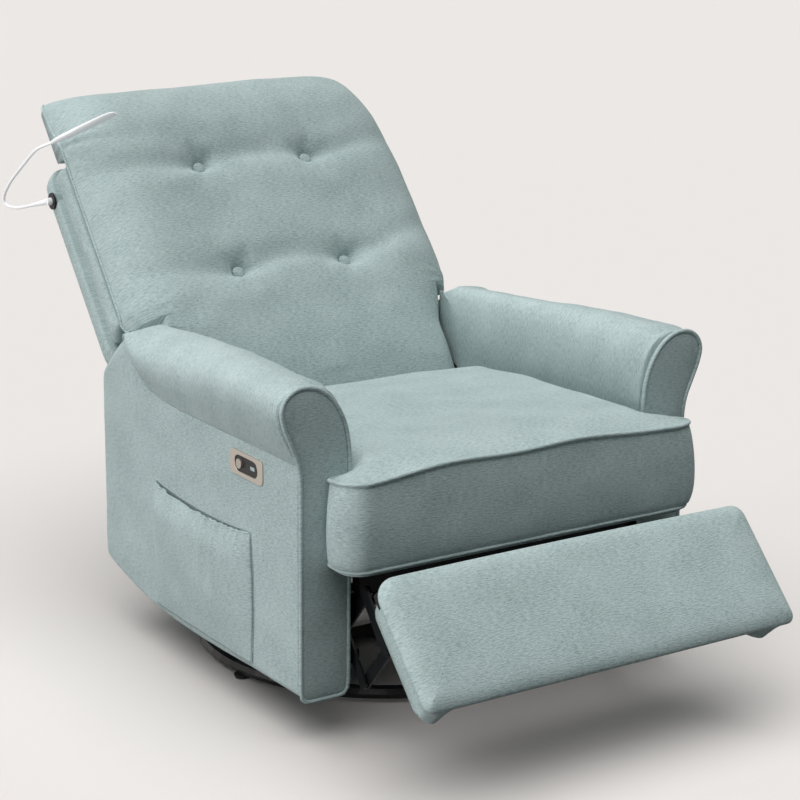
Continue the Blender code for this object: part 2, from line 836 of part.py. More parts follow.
def add_arms(chassis):
    body_outline = rounded(
        [
            (ARM_FRONT_Y + FRONT_PANEL_T + GAP, ARM_BOTTOM_Z, 0.0),
            (ARM_CUT_Y, ARM_BOTTOM_Z, 0.150),
            (ARM_REAR_Y, ARM_REAR_BOTTOM_Z, 0.012),
            (ARM_REAR_Y, ROLL_SEAM_Z, 0.0),
            (ARM_FRONT_Y + FRONT_PANEL_T + GAP, ROLL_SEAM_Z, 0.0),
        ],
        steps=6,
    )
    body = plate_yz("arm_body", [body_outline], ARM_INNER_X, ARM_OUTER_X)
    bevelled(body, 0.006)
    bake(body)
    for piece in pair(body, "arm_body"):
        done(piece, FABRIC, chassis)

    front_y = ARM_FRONT_Y + FRONT_PANEL_T + GAP
    count = 15
    rings = []
    for i in range(count + 1):
        y = front_y + (ARM_REAR_Y - front_y) * i / count
        rings.append(roll_ring(y))
    for piece in pair(loft("arm_roll", rings), "arm_roll"):
        done(piece, FABRIC, chassis, 50.0)

    outer_deg = -math.degrees(math.acos((ARM_OUTER_X - PANEL_ROLL_X) / PANEL_ROLL_R))
    keyhole = (
        [(ARM_INNER_X, ARM_BOTTOM_Z), (ARM_OUTER_X, ARM_BOTTOM_Z)]
        + arc((PANEL_ROLL_X, PANEL_ROLL_Z), PANEL_ROLL_R, outer_deg, 203, 22)
    )
    panel = plate_xz("arm_front", [keyhole], ARM_FRONT_Y, ARM_FRONT_Y + FRONT_PANEL_T)
    bevelled(panel, 0.004)
    bake(panel)
    for piece in pair(panel, "arm_front"):
        done(piece, FABRIC, chassis)


def roll_shape(y):
    """Inner x, radius and top z of the padded arm roll at y."""
    taper = min(1.0, max(0.0, (y - ROLL_TAPER_Y) / (ARM_REAR_Y - ROLL_TAPER_Y)))
    drop = min(1.0, max(0.0, (y - ROLL_DROP_Y) / (ARM_REAR_Y - ROLL_DROP_Y)))
    narrow = (ARM_OUTER_X - ARM_INNER_X) / 2
    ease = taper * taper * (3 - 2 * taper)
    inner = ROLL_INNER_X + (ARM_INNER_X - ROLL_INNER_X) * min(1.0, 2 * ease)
    radius = ROLL_R + (narrow - ROLL_R) * ease
    top = ROLL_Z + ROLL_R - (ROLL_Z + ROLL_R - ARM_REAR_TOP_Z - 0.014) * drop**1.9
    return inner, radius, top


def roll_ring(y):
    """One cross-section of the arm roll: round above, seated on the arm body below."""
    inner, radius, top = roll_shape(y)
    foot_z = ROLL_SEAM_Z + GAP
    middle_x, middle_z = inner + radius, top - radius
    ring = []
    count = 20
    for i in range(count + 1):
        angle = math.radians(-62 + 264 * i / count)
        x = middle_x + radius * math.cos(angle)
        z = middle_z + radius * math.sin(angle)
        ring.append((max(x, ARM_INNER_X) if z < ROLL_SEAM_Z + 0.01 else x, y, max(z, foot_z)))
    ring[0] = (ARM_OUTER_X, y, foot_z)
    ring[-1] = (ARM_INNER_X, y, foot_z)
    flattened = []
    for i, (x, yy, z) in enumerate(ring):
        lift = 0.0004 * min(i, count - i)
        flattened.append((x, yy, max(z, foot_z + lift)))
    return flattened


def add_pocket_and_controls(chassis):
    count_y, count_z = 14, 8
    bm = bmesh.new()
    wall_x = -ARM_OUTER_X - GAP
    rows = []
    for k in range(count_z + 1):
        v = k / count_z
        row = []
        for i in range(count_y + 1):
            u = -1 + 2 * i / count_y
            bulge = POCKET_BULGE * (1 - u**4) * (1 - (1 - v) ** 3)
            y = POCKET_Y[0] + (POCKET_Y[1] - POCKET_Y[0]) * (u + 1) / 2
            z = POCKET_Z[0] + (POCKET_Z[1] - POCKET_Z[0]) * v
            row.append(bm.verts.new((wall_x - bulge, y, z - 0.010 * v * (1 - u * u))))
        rows.append(row)
    for lower, upper in zip(rows, rows[1:]):
        for i in range(count_y):
            bm.faces.new((lower[i], upper[i], upper[i + 1], lower[i + 1]))
    pocket = from_bmesh("side_pocket", bm)
    wall = pocket.modifiers.new("cloth", "SOLIDIFY")
    wall.thickness = POCKET_T
    wall.offset = 1.0
    done(bake(pocket), FABRIC, chassis, 50.0)

    plate_x1 = wall_x
    plate_x0 = plate_x1 - PLATE_THICK
    plate = plate_yz(
        "control_plate",
        [
            rounded_box(PLATE_Y, PLATE_Z, 0.009),
            rounded_box(INSERT_Y, INSERT_Z, 0.0135),
        ],
        plate_x0,
        plate_x1,
    )
    bevelled(plate, 0.0008, segments=1)
    done(bake(plate), TRIM, chassis)

    inset_y = (INSERT_Y[0] + GAP, INSERT_Y[1] - GAP)
    inset_z = (INSERT_Z[0] + GAP, INSERT_Z[1] - GAP)
    middle_z = (INSERT_Z[0] + INSERT_Z[1]) / 2
    usb_half = (USB_SIZE[0] / 2, USB_SIZE[1] / 2)
    usb_y = (USB_Y - usb_half[0], USB_Y + usb_half[0])
    usb_z = (middle_z - usb_half[1], middle_z + usb_half[1])
    insert = plate_yz(
        "control_insert",
        [
            rounded_box(inset_y, inset_z, 0.0132),
            circle((BUTTON_Y, middle_z), BUTTON_R + PIN_GAP, 24),
            rounded_box((usb_y[0] - GAP, usb_y[1] + GAP), (usb_z[0] - GAP, usb_z[1] + GAP), 0.0012),
        ],
        plate_x1 - INSERT_T,
        plate_x1,
    )
    done(insert, BLACK_PLASTIC, chassis)
    socket = plate_yz(
        "usb_socket",
        [rounded_box(usb_y, usb_z, 0.001)],
        plate_x1 - INSERT_T + 0.0006,
        plate_x1,
    )
    done(socket, BRIGHT_STEEL, chassis)

    press = axis_empty("button_axis", (plate_x1, BUTTON_Y, middle_z), parent=chassis)
    button = rod(
        "control_button",
        (-0.0018, 0, 0),
        (-PLATE_THICK - BUTTON_PROUD, 0, 0),
        BUTTON_R,
    )
    bevelled(button, 0.0008, segments=2)
    done(bake(button), TRIM, press)


def rounded_box(span_a, span_b, radius):
    return rounded(
        [
            (span_a[0], span_b[0], radius),
            (span_a[1], span_b[0], radius),
            (span_a[1], span_b[1], radius),
            (span_a[0], span_b[1], radius),
        ]
    )


def add_actuator(chassis, rail_z0):
    rest = linkage(0)
    rail_z0 = rail_z0 + GAP
    rail_z1 = rail_z0 + RAIL_H
    half = RAIL_W / 2
    rail = block("actuator_rail", (-half, RAIL_FRONT_Y, rail_z0), (half, MOTOR_FRONT_Y - GAP, rail_z1))
    screw_groove = block(
        "groove", (-0.006, RAIL_FRONT_Y - 0.01, rail_z0 + 0.004), (0.006, MOTOR_FRONT_Y + 0.01, rail_z1 + 0.01)
    )
    joined(rail, screw_groove, operation="DIFFERENCE")
    done(rail, BRIGHT_STEEL, chassis)

    housing = block(
        "actuator_motor",
        (-MOTOR_W / 2, MOTOR_FRONT_Y, rail_z0),
        (MOTOR_W / 2, MOTOR_REAR_Y, rail_z0 + MOTOR_H),
    )
    bevelled(housing, 0.006)
    bake(housing)
    can_z = rail_z0 + MOTOR_H / 2
    can_y = MOTOR_FRONT_Y + 0.045
    can = rod(
        "can",
        (MOTOR_W / 2 - 0.01, can_y, can_z),
        (MOTOR_W / 2 + MOTOR_CAN_L, can_y, can_z),
        MOTOR_CAN_R,
    )
    tails = [
        plate_yz(
            "tail",
            [
                [(MOTOR_REAR_Y - 0.01, TAIL_EYE_Z - 0.008), (CROSS_REAR_Y, TAIL_EYE_Z - 0.008)]
                + arc((CROSS_REAR_Y, TAIL_EYE_Z), 0.008, -80, 80, 6)
                + [(CROSS_REAR_Y, TAIL_EYE_Z + 0.008), (MOTOR_REAR_Y - 0.01, TAIL_EYE_Z + 0.008)]
            ],
            side * 0.0125 - 0.002,
            side * 0.0125 + 0.002,
        )
        for side in (-1, 1)
    ]
    eye = rod("eye", (-0.0135, CROSS_REAR_Y, TAIL_EYE_Z), (0.0135, CROSS_REAR_Y, TAIL_EYE_Z), BAR_PIN_R, sides=16)
    done(joined(housing, can, *tails, eye), BLACK_PLASTIC, chassis)

    crank_y = LIFT_Y - CRANK_R * math.sin(math.radians(CRANK_DEG))
    carriage_axis = axis_empty("carriage_axis", (0, crank_y, rail_z1), parent=chassis)
    gap = GAP
    length = CARRIAGE_L / 2
    deck = block("actuator_carriage", (-half - gap - CARRIAGE_T, -length, gap),
                 (half + gap + CARRIAGE_T, length, gap + CARRIAGE_T))
    cheeks = [
        block(
            "cheek",
            (min(side * (half + gap), side * (half + gap + CARRIAGE_T)), -length, -RAIL_H + 0.003),
            (max(side * (half + gap), side * (half + gap + CARRIAGE_T)), length, gap + CARRIAGE_T),
        )
        for side in (-1, 1)
    ]
    top_z = LIFT_Z - CRANK_R * math.cos(math.radians(CRANK_DEG + (PHI_RATE - ALPHA_RATE) * BACK_MAX_DEG))
    low_z = LIFT_Z - CRANK_R * math.cos(math.radians(CRANK_DEG))
    slot_r = CRANK_PIN_R + YOKE_GAP
    slot = capsule((0, low_z - 0.001 - rail_z1), (0, top_z + 0.001 - rail_z1), slot_r, 6)
    yoke = plate_yz(
        "yoke",
        [
            rounded([(-YOKE_REACH_Y, gap, 0.0), (YOKE_REACH_Y, gap, 0.0),
                     (YOKE_REACH_Y, top_z - rail_z1 + 0.014, 0.010),
                     (-YOKE_REACH_Y, top_z - rail_z1 + 0.014, 0.010)]),
            slot,
        ],
        -YOKE_T / 2,
        YOKE_T / 2,
    )
    done(joined(deck, *cheeks, yoke), BRIGHT_STEEL, carriage_axis)
    return rest


def bar_between(name, start, end, x_low, x_high, holes=()):
    """A flat linkage bar with round ends, drawn in place."""
    outlines = [capsule(start, end, BAR_R)]
    outlines += [circle(hole, BAR_PIN_R + PIN_GAP, 16) for hole in holes]
    return plate_yz(name, outlines, x_low, x_high)


def rivet(place, x_from, x_to):
    """A pin with a head on its inner end, through the bar of the inner layer."""
    y, z = place
    pin = rod("rivet", (x_from - RIVET_HEAD_T / 2, y, z), (x_to, y, z), BAR_PIN_R, sides=16)
    head = rod("head", (x_from - RIVET_HEAD_T, y, z), (x_from, y, z), RIVET_HEAD_R, sides=16)
    return joined(pin, head)


def add_linkage(chassis):
    at = linkage(0)
    outer = (BAR_OUTER_X - BAR_T, BAR_OUTER_X)
    inner = (outer[0] - BAR_LAYER_GAP - BAR_T, outer[0] - BAR_LAYER_GAP)
    rivet_x = (inner[0] - 0.0005, outer[0] + BAR_T / 2)
    lift = (LIFT_Y, LIFT_Z)
    pin_end_x = ARM_INNER_X - 2 * GAP

    lift_axis = axis_empty("lift_axis", (0, *lift), parent=chassis)
    bar = bar_between("lift", lift, at["low"], *outer)
    journal = rod("journal", (outer[0] + BAR_T / 2, *lift), (pin_end_x, *lift), JOURNAL_R, sides=20)
    bar = joined(bar, journal, rivet(at["cross"], *rivet_x), rivet(at["low"], *rivet_x))
    place_pair(bar, "footrest_lift_link", lift_axis)

    reach = outer[0] - GAP
    torque = rod("torque_tube", (-reach, *lift), (reach, *lift), TORQUE_TUBE_R)
    crank = Vector((
        LIFT_Y - CRANK_R * math.sin(math.radians(CRANK_DEG)),
        LIFT_Z - CRANK_R * math.cos(math.radians(CRANK_DEG)),
    ))
    ears = [
        plate_yz(
            "ear",
            [capsule(lift, crank, CRANK_EAR_R)],
            side * CRANK_EAR_X - CRANK_EAR_T / 2,
            side * CRANK_EAR_X + CRANK_EAR_T / 2,
        )
        for side in (-1, 1)
    ]
    pin = rod("pin", (-CRANK_EAR_X, *crank), (CRANK_EAR_X, *crank), CRANK_PIN_R, sides=16)
    torque = joined(torque, *ears, pin)
    rehang(torque, lift_axis)
    done(torque, STEEL, lift_axis)

    guide_axis = axis_empty("guide_axis", (0, *at["cross"]), parent=chassis)
    bar = bar_between("guide", at["guide"], at["high"], *inner, holes=(at["cross"], at["high"]))
    follower = rod(
        "follower", (inner[0] + BAR_T / 2, *at["guide"]), (pin_end_x, *at["guide"]), BAR_PIN_R, sides=16
    )
    place_pair(joined(bar, follower), "footrest_guide_link", guide_axis)

    short_axis = axis_empty("short_axis", (0, *at["high"]), parent=chassis)
    bar = bar_between("short", at["high"], at["short"], *outer)
    bar = joined(bar, rivet(at["high"], *rivet_x), rivet(at["short"], *rivet_x))
    place_pair(bar, "footrest_short_link", short_axis)

    carry_axis = axis_empty("carry_axis", (0, *at["low"]), parent=chassis)
    bar = bar_between(
        "carry", at["low"], at["carry"], *inner, holes=(at["low"], at["short"], at["carry"])
    )
    place_pair(bar, "footrest_carry_link", carry_axis)
    return at, outer, rivet_x


def rehang(obj, parent):
    """Moves a mesh drawn in place into the frame of its parent empty."""
    bpy.context.view_layer.update()
    obj.data.transform(parent.matrix_world.inverted())


def place_pair(obj, base_name, parent):
    rehang(obj, parent)
    for piece in pair(obj, base_name):
        done(piece, STEEL, parent)


def add_footrest(chassis, at, outer, rivet_x):
    """The board and pad, drawn upright in front of their hinge and then tipped."""
    hinge = axis_empty("footrest_axis", (0, *at["carry"]), BOARD_DEG, parent=chassis)
    front_y = -CARRY_BEHIND
    top_z = CARRY_ALONG
    bottom_z = top_z - FOOTREST_H
    pad_back = front_y + PAD_T
    board_y0 = pad_back + GAP
    board_y1 = board_y0 + BOARD_T
    half = BOARD_W / 2
    board = block(
        "footrest_board", (-half, board_y0, bottom_z + 0.012), (half, board_y1, top_z - 0.010)
    )
    for side in (-1, 1):
        bracket = plate_yz(
            "bracket",
            [
                [(board_y1 - 0.002, -0.045), (board_y1 + 0.001, -0.045)]
                + arc((0, 0), 0.010, -45, 90, 8)
                + [(board_y1 - 0.002, 0.020)]
            ],
            *outer,
        )
        bracket = joined(bracket, rivet((0, 0), *rivet_x))
        if side < 0:
            remap(bracket, Matrix.Scale(-1, 4, (1, 0, 0)))
        joined(board, bracket)
    done(board, WOOD, hinge)

    rings = []
    stations = ((-1.0, 0.80, 0.90), (-0.985, 0.93, 0.965), (-0.955, 1.0, 1.0), (-0.7, 1.0, 1.0),
                (-0.35, 1.0, 1.0), (0.0, 1.0, 1.0), (0.35, 1.0, 1.0), (0.7, 1.0, 1.0),
                (0.955, 1.0, 1.0), (0.985, 0.93, 0.965), (1.0, 0.80, 0.90))
    for along_x, thick, tall in stations:
        rings.append(pad_ring(along_x * FOOTREST_W / 2, front_y, pad_back, top_z, bottom_z, thick, tall))
    done(loft("footrest_pad", rings), FABRIC, hinge, 50.0)
    return hinge


def pad_ring(x, front_y, back_y, top_z, bottom_z, thick, tall):
    """One cross-section of the footrest pad, crowned in front and drawn in behind at the board."""
    middle_z = (top_z + bottom_z) / 2
    board_x = BOARD_W / 2 + PAD_WRAP
    behind_x = math.copysign(min(abs(x), board_x + 0.1 * (abs(x) - board_x)), x)
    half_h = (top_z - bottom_z) / 2 * tall
    depth = (back_y - front_y) * thick
    ring = []
    count = 12
    for i in range(count + 1):
        v = -1 + 2 * i / count
        ring.append((x, back_y - depth * (1 - 0.36 * abs(v) ** 12), middle_z + half_h * v))
    ring.append((x, back_y - depth * 0.18, middle_z + half_h * 0.998))
    ring.append((behind_x, back_y, middle_z + half_h * 0.96))
    ring.append((behind_x, back_y, middle_z - half_h * 0.96))
    ring.append((x, back_y - depth * 0.18, middle_z - half_h * 0.998))
    return ring


def back_outline(neck, wing, foot, wing_z, top, corner):
    """The T-shaped outline of the back, as (x, z)."""
    return rounded(
        [
            (-neck, foot, 0.020),
            (neck, foot, 0.020),
            (neck, wing_z, 0.0),
            (wing, wing_z, 0.016),
            (wing, top, corner),
            (-wing, top, corner),
            (-wing, wing_z, 0.016),
            (-neck, wing_z, 0.0),
        ]
    )


def add_back(chassis):
    hinge = axis_empty("back_axis", (0, HINGE_Y, HINGE_Z), BACK_REST_DEG, parent=chassis)
    frame_y0 = -FRAME_FRONT
    frame_y1 = frame_y0 + FRAME_T
    frame = plate_xz(
        "back_frame",
        [back_outline(BACK_NECK_HALF_W - 0.001, BACK_WING_HALF_W - 0.006, BACK_FOOT_Z + 0.012,
                      BACK_WING_Z + 0.003, BACK_TOP_Z - 0.004, 0.030)],
        frame_y0,
        frame_y1,
    )
    done(frame, WOOD, hinge)

    shell_y0 = frame_y1 + GAP
    shell = plate_xz(
        "back_shell",
        [back_outline(BACK_NECK_HALF_W, BACK_WING_HALF_W, BACK_FOOT_Z, BACK_WING_Z, BACK_TOP_Z, 0.034)],
        shell_y0,
        shell_y0 + SHELL_T,
    )
    for vertex in shell.data.vertices:
        x, y, z = vertex.co
        low_edge = BACK_WING_Z - GAP < z < BACK_WING_Z + 0.020
        if low_edge and abs(x) > BACK_NECK_HALF_W - GAP and y > shell_y0 + SHELL_T / 2:
            vertex.co.z -= BACK_WING_SLOPE
    bevelled(shell, 0.008)
    done(bake(shell), FABRIC, hinge)

    rings = [pillow_ring(z) for z in pillow_stations()]
    done(loft("back_pillow", rings), FABRIC, hinge, 60.0)

    for i, (x, z) in enumerate((x, z) for z in TUFT_Z for x in (-TUFT_X, TUFT_X)):
        front = -pillow_front(x, z) - TUFT_BUTTON_GAP
        button = rod(
            f"tuft_button_{i + 1}", (x, front, z), (x, front - TUFT_BUTTON_T, z), TUFT_BUTTON_R, TUFT_BUTTON_R * 0.55, 16
        )
        done(button, FABRIC, hinge, 50.0)

    bracket_x0 = BACK_NECK_HALF_W + GAP
    bracket_x1 = bracket_x0 + BRACKET_T
    bracket = plate_yz(
        "back_bracket",
        [
            arc((0, 0), BRACKET_EAR_R, 170, 300, 10)
            + [
                (shell_y0 + SHELL_T - BRACKET_REAR_INSET, BRACKET_LOW),
                (shell_y0 + SHELL_T - BRACKET_REAR_INSET, BRACKET_HIGH),
                (-BRACKET_FRONT, BRACKET_HIGH),
            ]
        ],
        bracket_x0,
        bracket_x1,
    )
    pin = rod(
        "pin", (bracket_x0 + BRACKET_T / 2, 0, 0), (ARM_INNER_X - 2 * GAP, 0, 0), HINGE_PIN_R, sides=20
    )
    for piece in pair(joined(bracket, pin), "back_bracket"):
        done(piece, STEEL, hinge)
    return hinge


def pillow_stations():
    """Heights of the pillow's cross-sections, closer together at its corners and tufts."""
    foot = [-PILLOW_FOOT_R * math.cos(math.radians(a)) for a in (12, 30, 55, 80)]
    neck = [0.035, 0.080, 0.125, 0.165, BACK_WING_Z - 0.002]
    corner = [BACK_WING_Z + 0.001, BACK_WING_Z + 0.008, BACK_WING_Z + 0.020]
    wing = []
    for tuft_z in TUFT_Z:
        wing += [tuft_z + away for away in (-0.017, -0.009, 0.0, 0.009, 0.017, 0.032, 0.055)]
    between = [0.335, 0.375, 0.415, 0.440, BACK_TOP_Z + 0.004, BACK_TOP_Z + 0.030]
    top = [PILLOW_TOP_Z - drop for drop in (0.064, 0.040, 0.022, 0.010, 0.003, 0.0)]
    return foot + neck + sorted(corner + wing + between) + top


def pillow_columns(half_w):
    """Distances from the middle at which a cross-section has its points."""
    tuft = [TUFT_X + away for away in (-0.060, -0.032, -0.017, -0.009, 0.0, 0.009, 0.017, 0.032)]
    outer_from = tuft[-1]
    outer = [outer_from + (half_w - outer_from) * k for k in (0.26, 0.52, 0.74, 0.90, 0.975, 1.0)]
    columns = [0.028] + tuft + outer
    return [-x for x in reversed(columns)] + [0.0] + columns


def pillow_half_width(z):
    if z < BACK_WING_Z:
        return PILLOW_NECK_HALF_W
    rise = min(1.0, (z - BACK_WING_Z) / 0.018)
    corner = max(0.0, (z - PILLOW_TOP_Z + 0.030) / 0.030)
    return PILLOW_HALF_W - 0.012 * (1 - rise) ** 2 - 0.020 * corner**2


def pillow_front(x, z):
    """How far the pillow's face stands in front of the hinge plane."""
    if z < 0:
        return math.sqrt(PILLOW_FOOT_R**2 - z**2)
    for tuft_x in (-TUFT_X, TUFT_X):
        for tuft_z in TUFT_Z:
            if math.hypot(x - tuft_x, z - tuft_z) < TUFT_FLAT_R:
                x, z = tuft_x, tuft_z
    u = min(1.0, abs(x) / pillow_half_width(z))
    top = max(0.0, (z - PILLOW_TOP_Z + 0.075) / 0.075)
    crown = PILLOW_CROWN - PILLOW_EDGE
    face = PILLOW_EDGE + crown * (1 - u**4) ** 0.75 * (1 - top**3) ** 0.6
    blend = min(1.0, z / 0.10)
    face = PILLOW_FOOT_R * (1 - blend) + face * blend
    for tuft_x in (-TUFT_X, TUFT_X):
        for tuft_z in TUFT_Z:
            away = math.hypot(x - tuft_x, z - tuft_z)
            face -= TUFT_DEPTH * math.exp(-((max(0.0, away - TUFT_FLAT_R) / 0.022) ** 2))
            face -= 0.010 * math.exp(-((away / 0.075) ** 2))
    return face


def pillow_back(z):
    """How far the pillow's back stands in front of the hinge plane; it hangs over the shell."""
    over = min(1.0, max(0.0, (z - BACK_TOP_Z - 0.006) / 0.020))
    return PILLOW_BACK - 0.030 * over


def pillow_ring(z):
    half_w = pillow_half_width(z)
    ring = []
    back = pillow_back(z)
    for x in pillow_columns(half_w):
        ring.append((x, -max(pillow_front(x, z), back + 0.006), z))
    top = max(0.0, (z - PILLOW_TOP_Z + 0.012) / 0.012)
    back += 0.016 * top**2
    ring.append((half_w - 0.003, -(back + 0.004), z))
    ring.append((half_w - 0.010, -back, z))
    ring.append((-half_w + 0.010, -back, z))
    ring.append((-half_w + 0.003, -(back + 0.004), z))
    return ring


def add_lamp(hinge):
    side_x = -BACK_WING_HALF_W
    swing = axis_empty("lamp_axis", (side_x, LAMP_Y, LAMP_Z), parent=hinge)
    socket = plate_yz(
        "lamp_socket",
        [circle((LAMP_Y, LAMP_Z), LAMP_SOCKET_R, 24), circle((LAMP_Y, LAMP_Z), LAMP_PLUG_R + PIN_GAP, 20)],
        side_x - GAP - LAMP_SOCKET_T,
        side_x - GAP,
    )
    bevelled(socket, 0.001, segments=1)
    done(bake(socket), BLACK_PLASTIC, hinge)

    route = smooth_route([Vector(point) for point in LAMP_ROUTE], 4)
    neck = tube("lamp_neck", route, LAMP_NECK_R, resolution=2)
    face_x = -LAMP_SOCKET_T - 2 * GAP
    hub_x = face_x - LAMP_CONE_R
    cone = rod("cone", (hub_x, 0, 0), route[0] * 1.08, LAMP_CONE_R, LAMP_NECK_R * 1.05, 20)
    hub = rod("hub", (face_x, 0, 0), (hub_x - 0.003, 0, 0), LAMP_CONE_R * 1.2, sides=20)
    plug = rod("plug", (-3 * GAP, 0, 0), (hub_x, 0, 0), LAMP_PLUG_R, sides=20)
    done(joined(neck, cone, hub, plug), WHITE_PLASTIC, swing)

    end = route[-1]
    way = (Vector(LAMP_TIP) - end).normalized()
    head_start = end + way * 2 * GAP
    up = Vector((0, 0, 1))
    side = way.cross(up).normalized()
    up = side.cross(way).normalized()
    rings = []
    for t, wide, thick in ((0.0, 0.20, 0.55), (0.06, 0.42, 0.80), (0.22, 0.66, 1.0), (0.60, 0.92, 0.95),
                           (0.85, 1.0, 0.80), (0.96, 0.80, 0.60), (1.0, 0.40, 0.35)):
        centre = head_start + way * LAMP_HEAD_L * t
        ring = []
        for i in range(16):
            angle = 2 * math.pi * i / 16
            ring.append(
                centre
                + side * (LAMP_HEAD_W / 2 * wide * math.cos(angle))
                + up * (LAMP_HEAD_T / 2 * thick * math.sin(angle))
            )
        rings.append(ring)
    done(loft("lamp_head", rings), WHITE_PLASTIC, swing, 50.0)


def smooth_route(points, steps):
    """Points on the Catmull-Rom curve through a route."""
    ends = [points[0] * 2 - points[1]] + points + [points[-1] * 2 - points[-2]]
    route = []
    for a, b, c, d in zip(ends, ends[1:], ends[2:], ends[3:]):
        for i in range(steps):
            t = i / steps
            route.append(
                0.5 * (2 * b + (c - a) * t + (2 * a - 5 * b + 4 * c - d) * t**2
                       + (3 * b - a - 3 * c + d) * t**3)
            )
    route.append(points[-1])
    return route


clear_scene()
FABRIC = material("chenille", (0.40, 0.52, 0.50), 0.9)
STEEL = material("black_steel", (0.025, 0.025, 0.028), 0.4, 0.9)
BRIGHT_STEEL = material("bright_steel", (0.55, 0.56, 0.58), 0.3, 1.0)
WOOD = material("plywood", (0.55, 0.42, 0.28), 0.7)
BLACK_PLASTIC = material("black_plastic", (0.02, 0.02, 0.022), 0.5)
WHITE_PLASTIC = material("white_plastic", (0.85, 0.85, 0.84), 0.35)
TRIM = material("taupe_trim", (0.50, 0.44, 0.38), 0.35, 0.6)

plate_bottom, plate_top = add_base()
swivel_axis, swing_x0, swing_x1 = add_platform(plate_bottom, plate_top)
link_low_z = add_glide_links(swivel_axis, swing_x0, swing_x1)
chassis_axis, side_x0, tube_top = add_chassis_steel(swing_x1, link_low_z)
add_seat(chassis_axis, side_x0)
add_arms(chassis_axis)
add_pocket_and_controls(chassis_axis)
add_actuator(chassis_axis, tube_top)
pivots, outer_layer, rivet_span = add_linkage(chassis_axis)
add_footrest(chassis_axis, pivots, outer_layer, rivet_span)
back_axis = add_back(chassis_axis)
add_lamp(back_axis)
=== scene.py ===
import math

import bpy
import numpy as np
from mathutils import Matrix, Vector, noise


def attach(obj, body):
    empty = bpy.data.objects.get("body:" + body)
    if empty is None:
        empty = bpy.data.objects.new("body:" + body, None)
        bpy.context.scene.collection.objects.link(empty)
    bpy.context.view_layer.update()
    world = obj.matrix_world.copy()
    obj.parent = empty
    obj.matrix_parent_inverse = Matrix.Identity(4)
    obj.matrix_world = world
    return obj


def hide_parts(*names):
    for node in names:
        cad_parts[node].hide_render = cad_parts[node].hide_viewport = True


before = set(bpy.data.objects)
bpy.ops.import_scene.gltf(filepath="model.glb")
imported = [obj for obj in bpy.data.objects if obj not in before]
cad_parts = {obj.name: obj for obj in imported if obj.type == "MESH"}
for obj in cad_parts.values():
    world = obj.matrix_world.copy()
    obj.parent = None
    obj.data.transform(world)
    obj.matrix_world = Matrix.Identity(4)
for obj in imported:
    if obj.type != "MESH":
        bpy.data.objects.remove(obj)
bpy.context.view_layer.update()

# The base: a bent steel tube ring with two crossed bars, welded and coated in gloss black
# powder, with the bearing, the platform and the swing links bolted on above it. The coat is
# a little orange-peeled, and carries some dust on what faces up.
COAT_BLACK = (0.006, 0.006, 0.007, 1)
COAT_DUST = (0.026, 0.027, 0.028, 1)
COAT_PATCHES = 14.0
COAT_SPECKS = 260.0
COAT_PEEL = 420.0


def shader_group(name, inputs, outputs):
    group = bpy.data.node_groups.new(name, "ShaderNodeTree")
    for label, kind, value in inputs:
        socket = group.interface.new_socket(label, in_out="INPUT", socket_type=kind)
        if value is not None:
            socket.default_value = value
    for label, kind in outputs:
        group.interface.new_socket(label, in_out="OUTPUT", socket_type=kind)
    return group, group.nodes.new("NodeGroupInput"), group.nodes.new("NodeGroupOutput")


def noise_in(tree, vector, scale, detail=2.0, rough=0.5):
    node = tree.nodes.new("ShaderNodeTexNoise")
    node.inputs["Scale"].default_value = scale
    node.inputs["Detail"].default_value = detail
    node.inputs["Roughness"].default_value = rough
    tree.links.new(vector, node.inputs["Vector"])
    return node.outputs["Fac"]


def spread(tree, value, low, high, to_low=0.0, to_high=1.0):
    node = tree.nodes.new("ShaderNodeMapRange")
    for label, limit in zip(("From Min", "From Max", "To Min", "To Max"), (low, high, to_low, to_high)):
        node.inputs[label].default_value = limit
    tree.links.new(value, node.inputs["Value"])
    return node.outputs["Result"]


def mixed(tree, amount, first, second):
    node = tree.nodes.new("ShaderNodeMix")
    node.data_type = "RGBA"
    tree.links.new(amount, node.inputs[0])
    for socket, colour in ((node.inputs[6], first), (node.inputs[7], second)):
        if isinstance(colour, (tuple, list)):
            socket.default_value = colour
        else:
            tree.links.new(colour, socket)
    return node.outputs[2]


def number(tree, operation, first, second):
    node = tree.nodes.new("ShaderNodeMath")
    node.operation = operation
    for socket, value in zip(node.inputs, (first, second)):
        if isinstance(value, (int, float)):
            socket.default_value = value
        else:
            tree.links.new(value, socket)
    return node.outputs["Value"]


def join_shader(tree, group, depth, strength=1.0):
    """Lead a finish's colour, roughness and height into the material's Principled node."""
    shader = tree.nodes["Principled BSDF"]
    bump = tree.nodes.new("ShaderNodeBump")
    bump.inputs["Distance"].default_value = depth
    bump.inputs["Strength"].default_value = strength
    tree.links.new(group.outputs["Height"], bump.inputs["Height"])
    tree.links.new(group.outputs["Colour"], shader.inputs["Base Color"])
    tree.links.new(group.outputs["Roughness"], shader.inputs["Roughness"])
    tree.links.new(bump.outputs["Normal"], shader.inputs["Normal"])


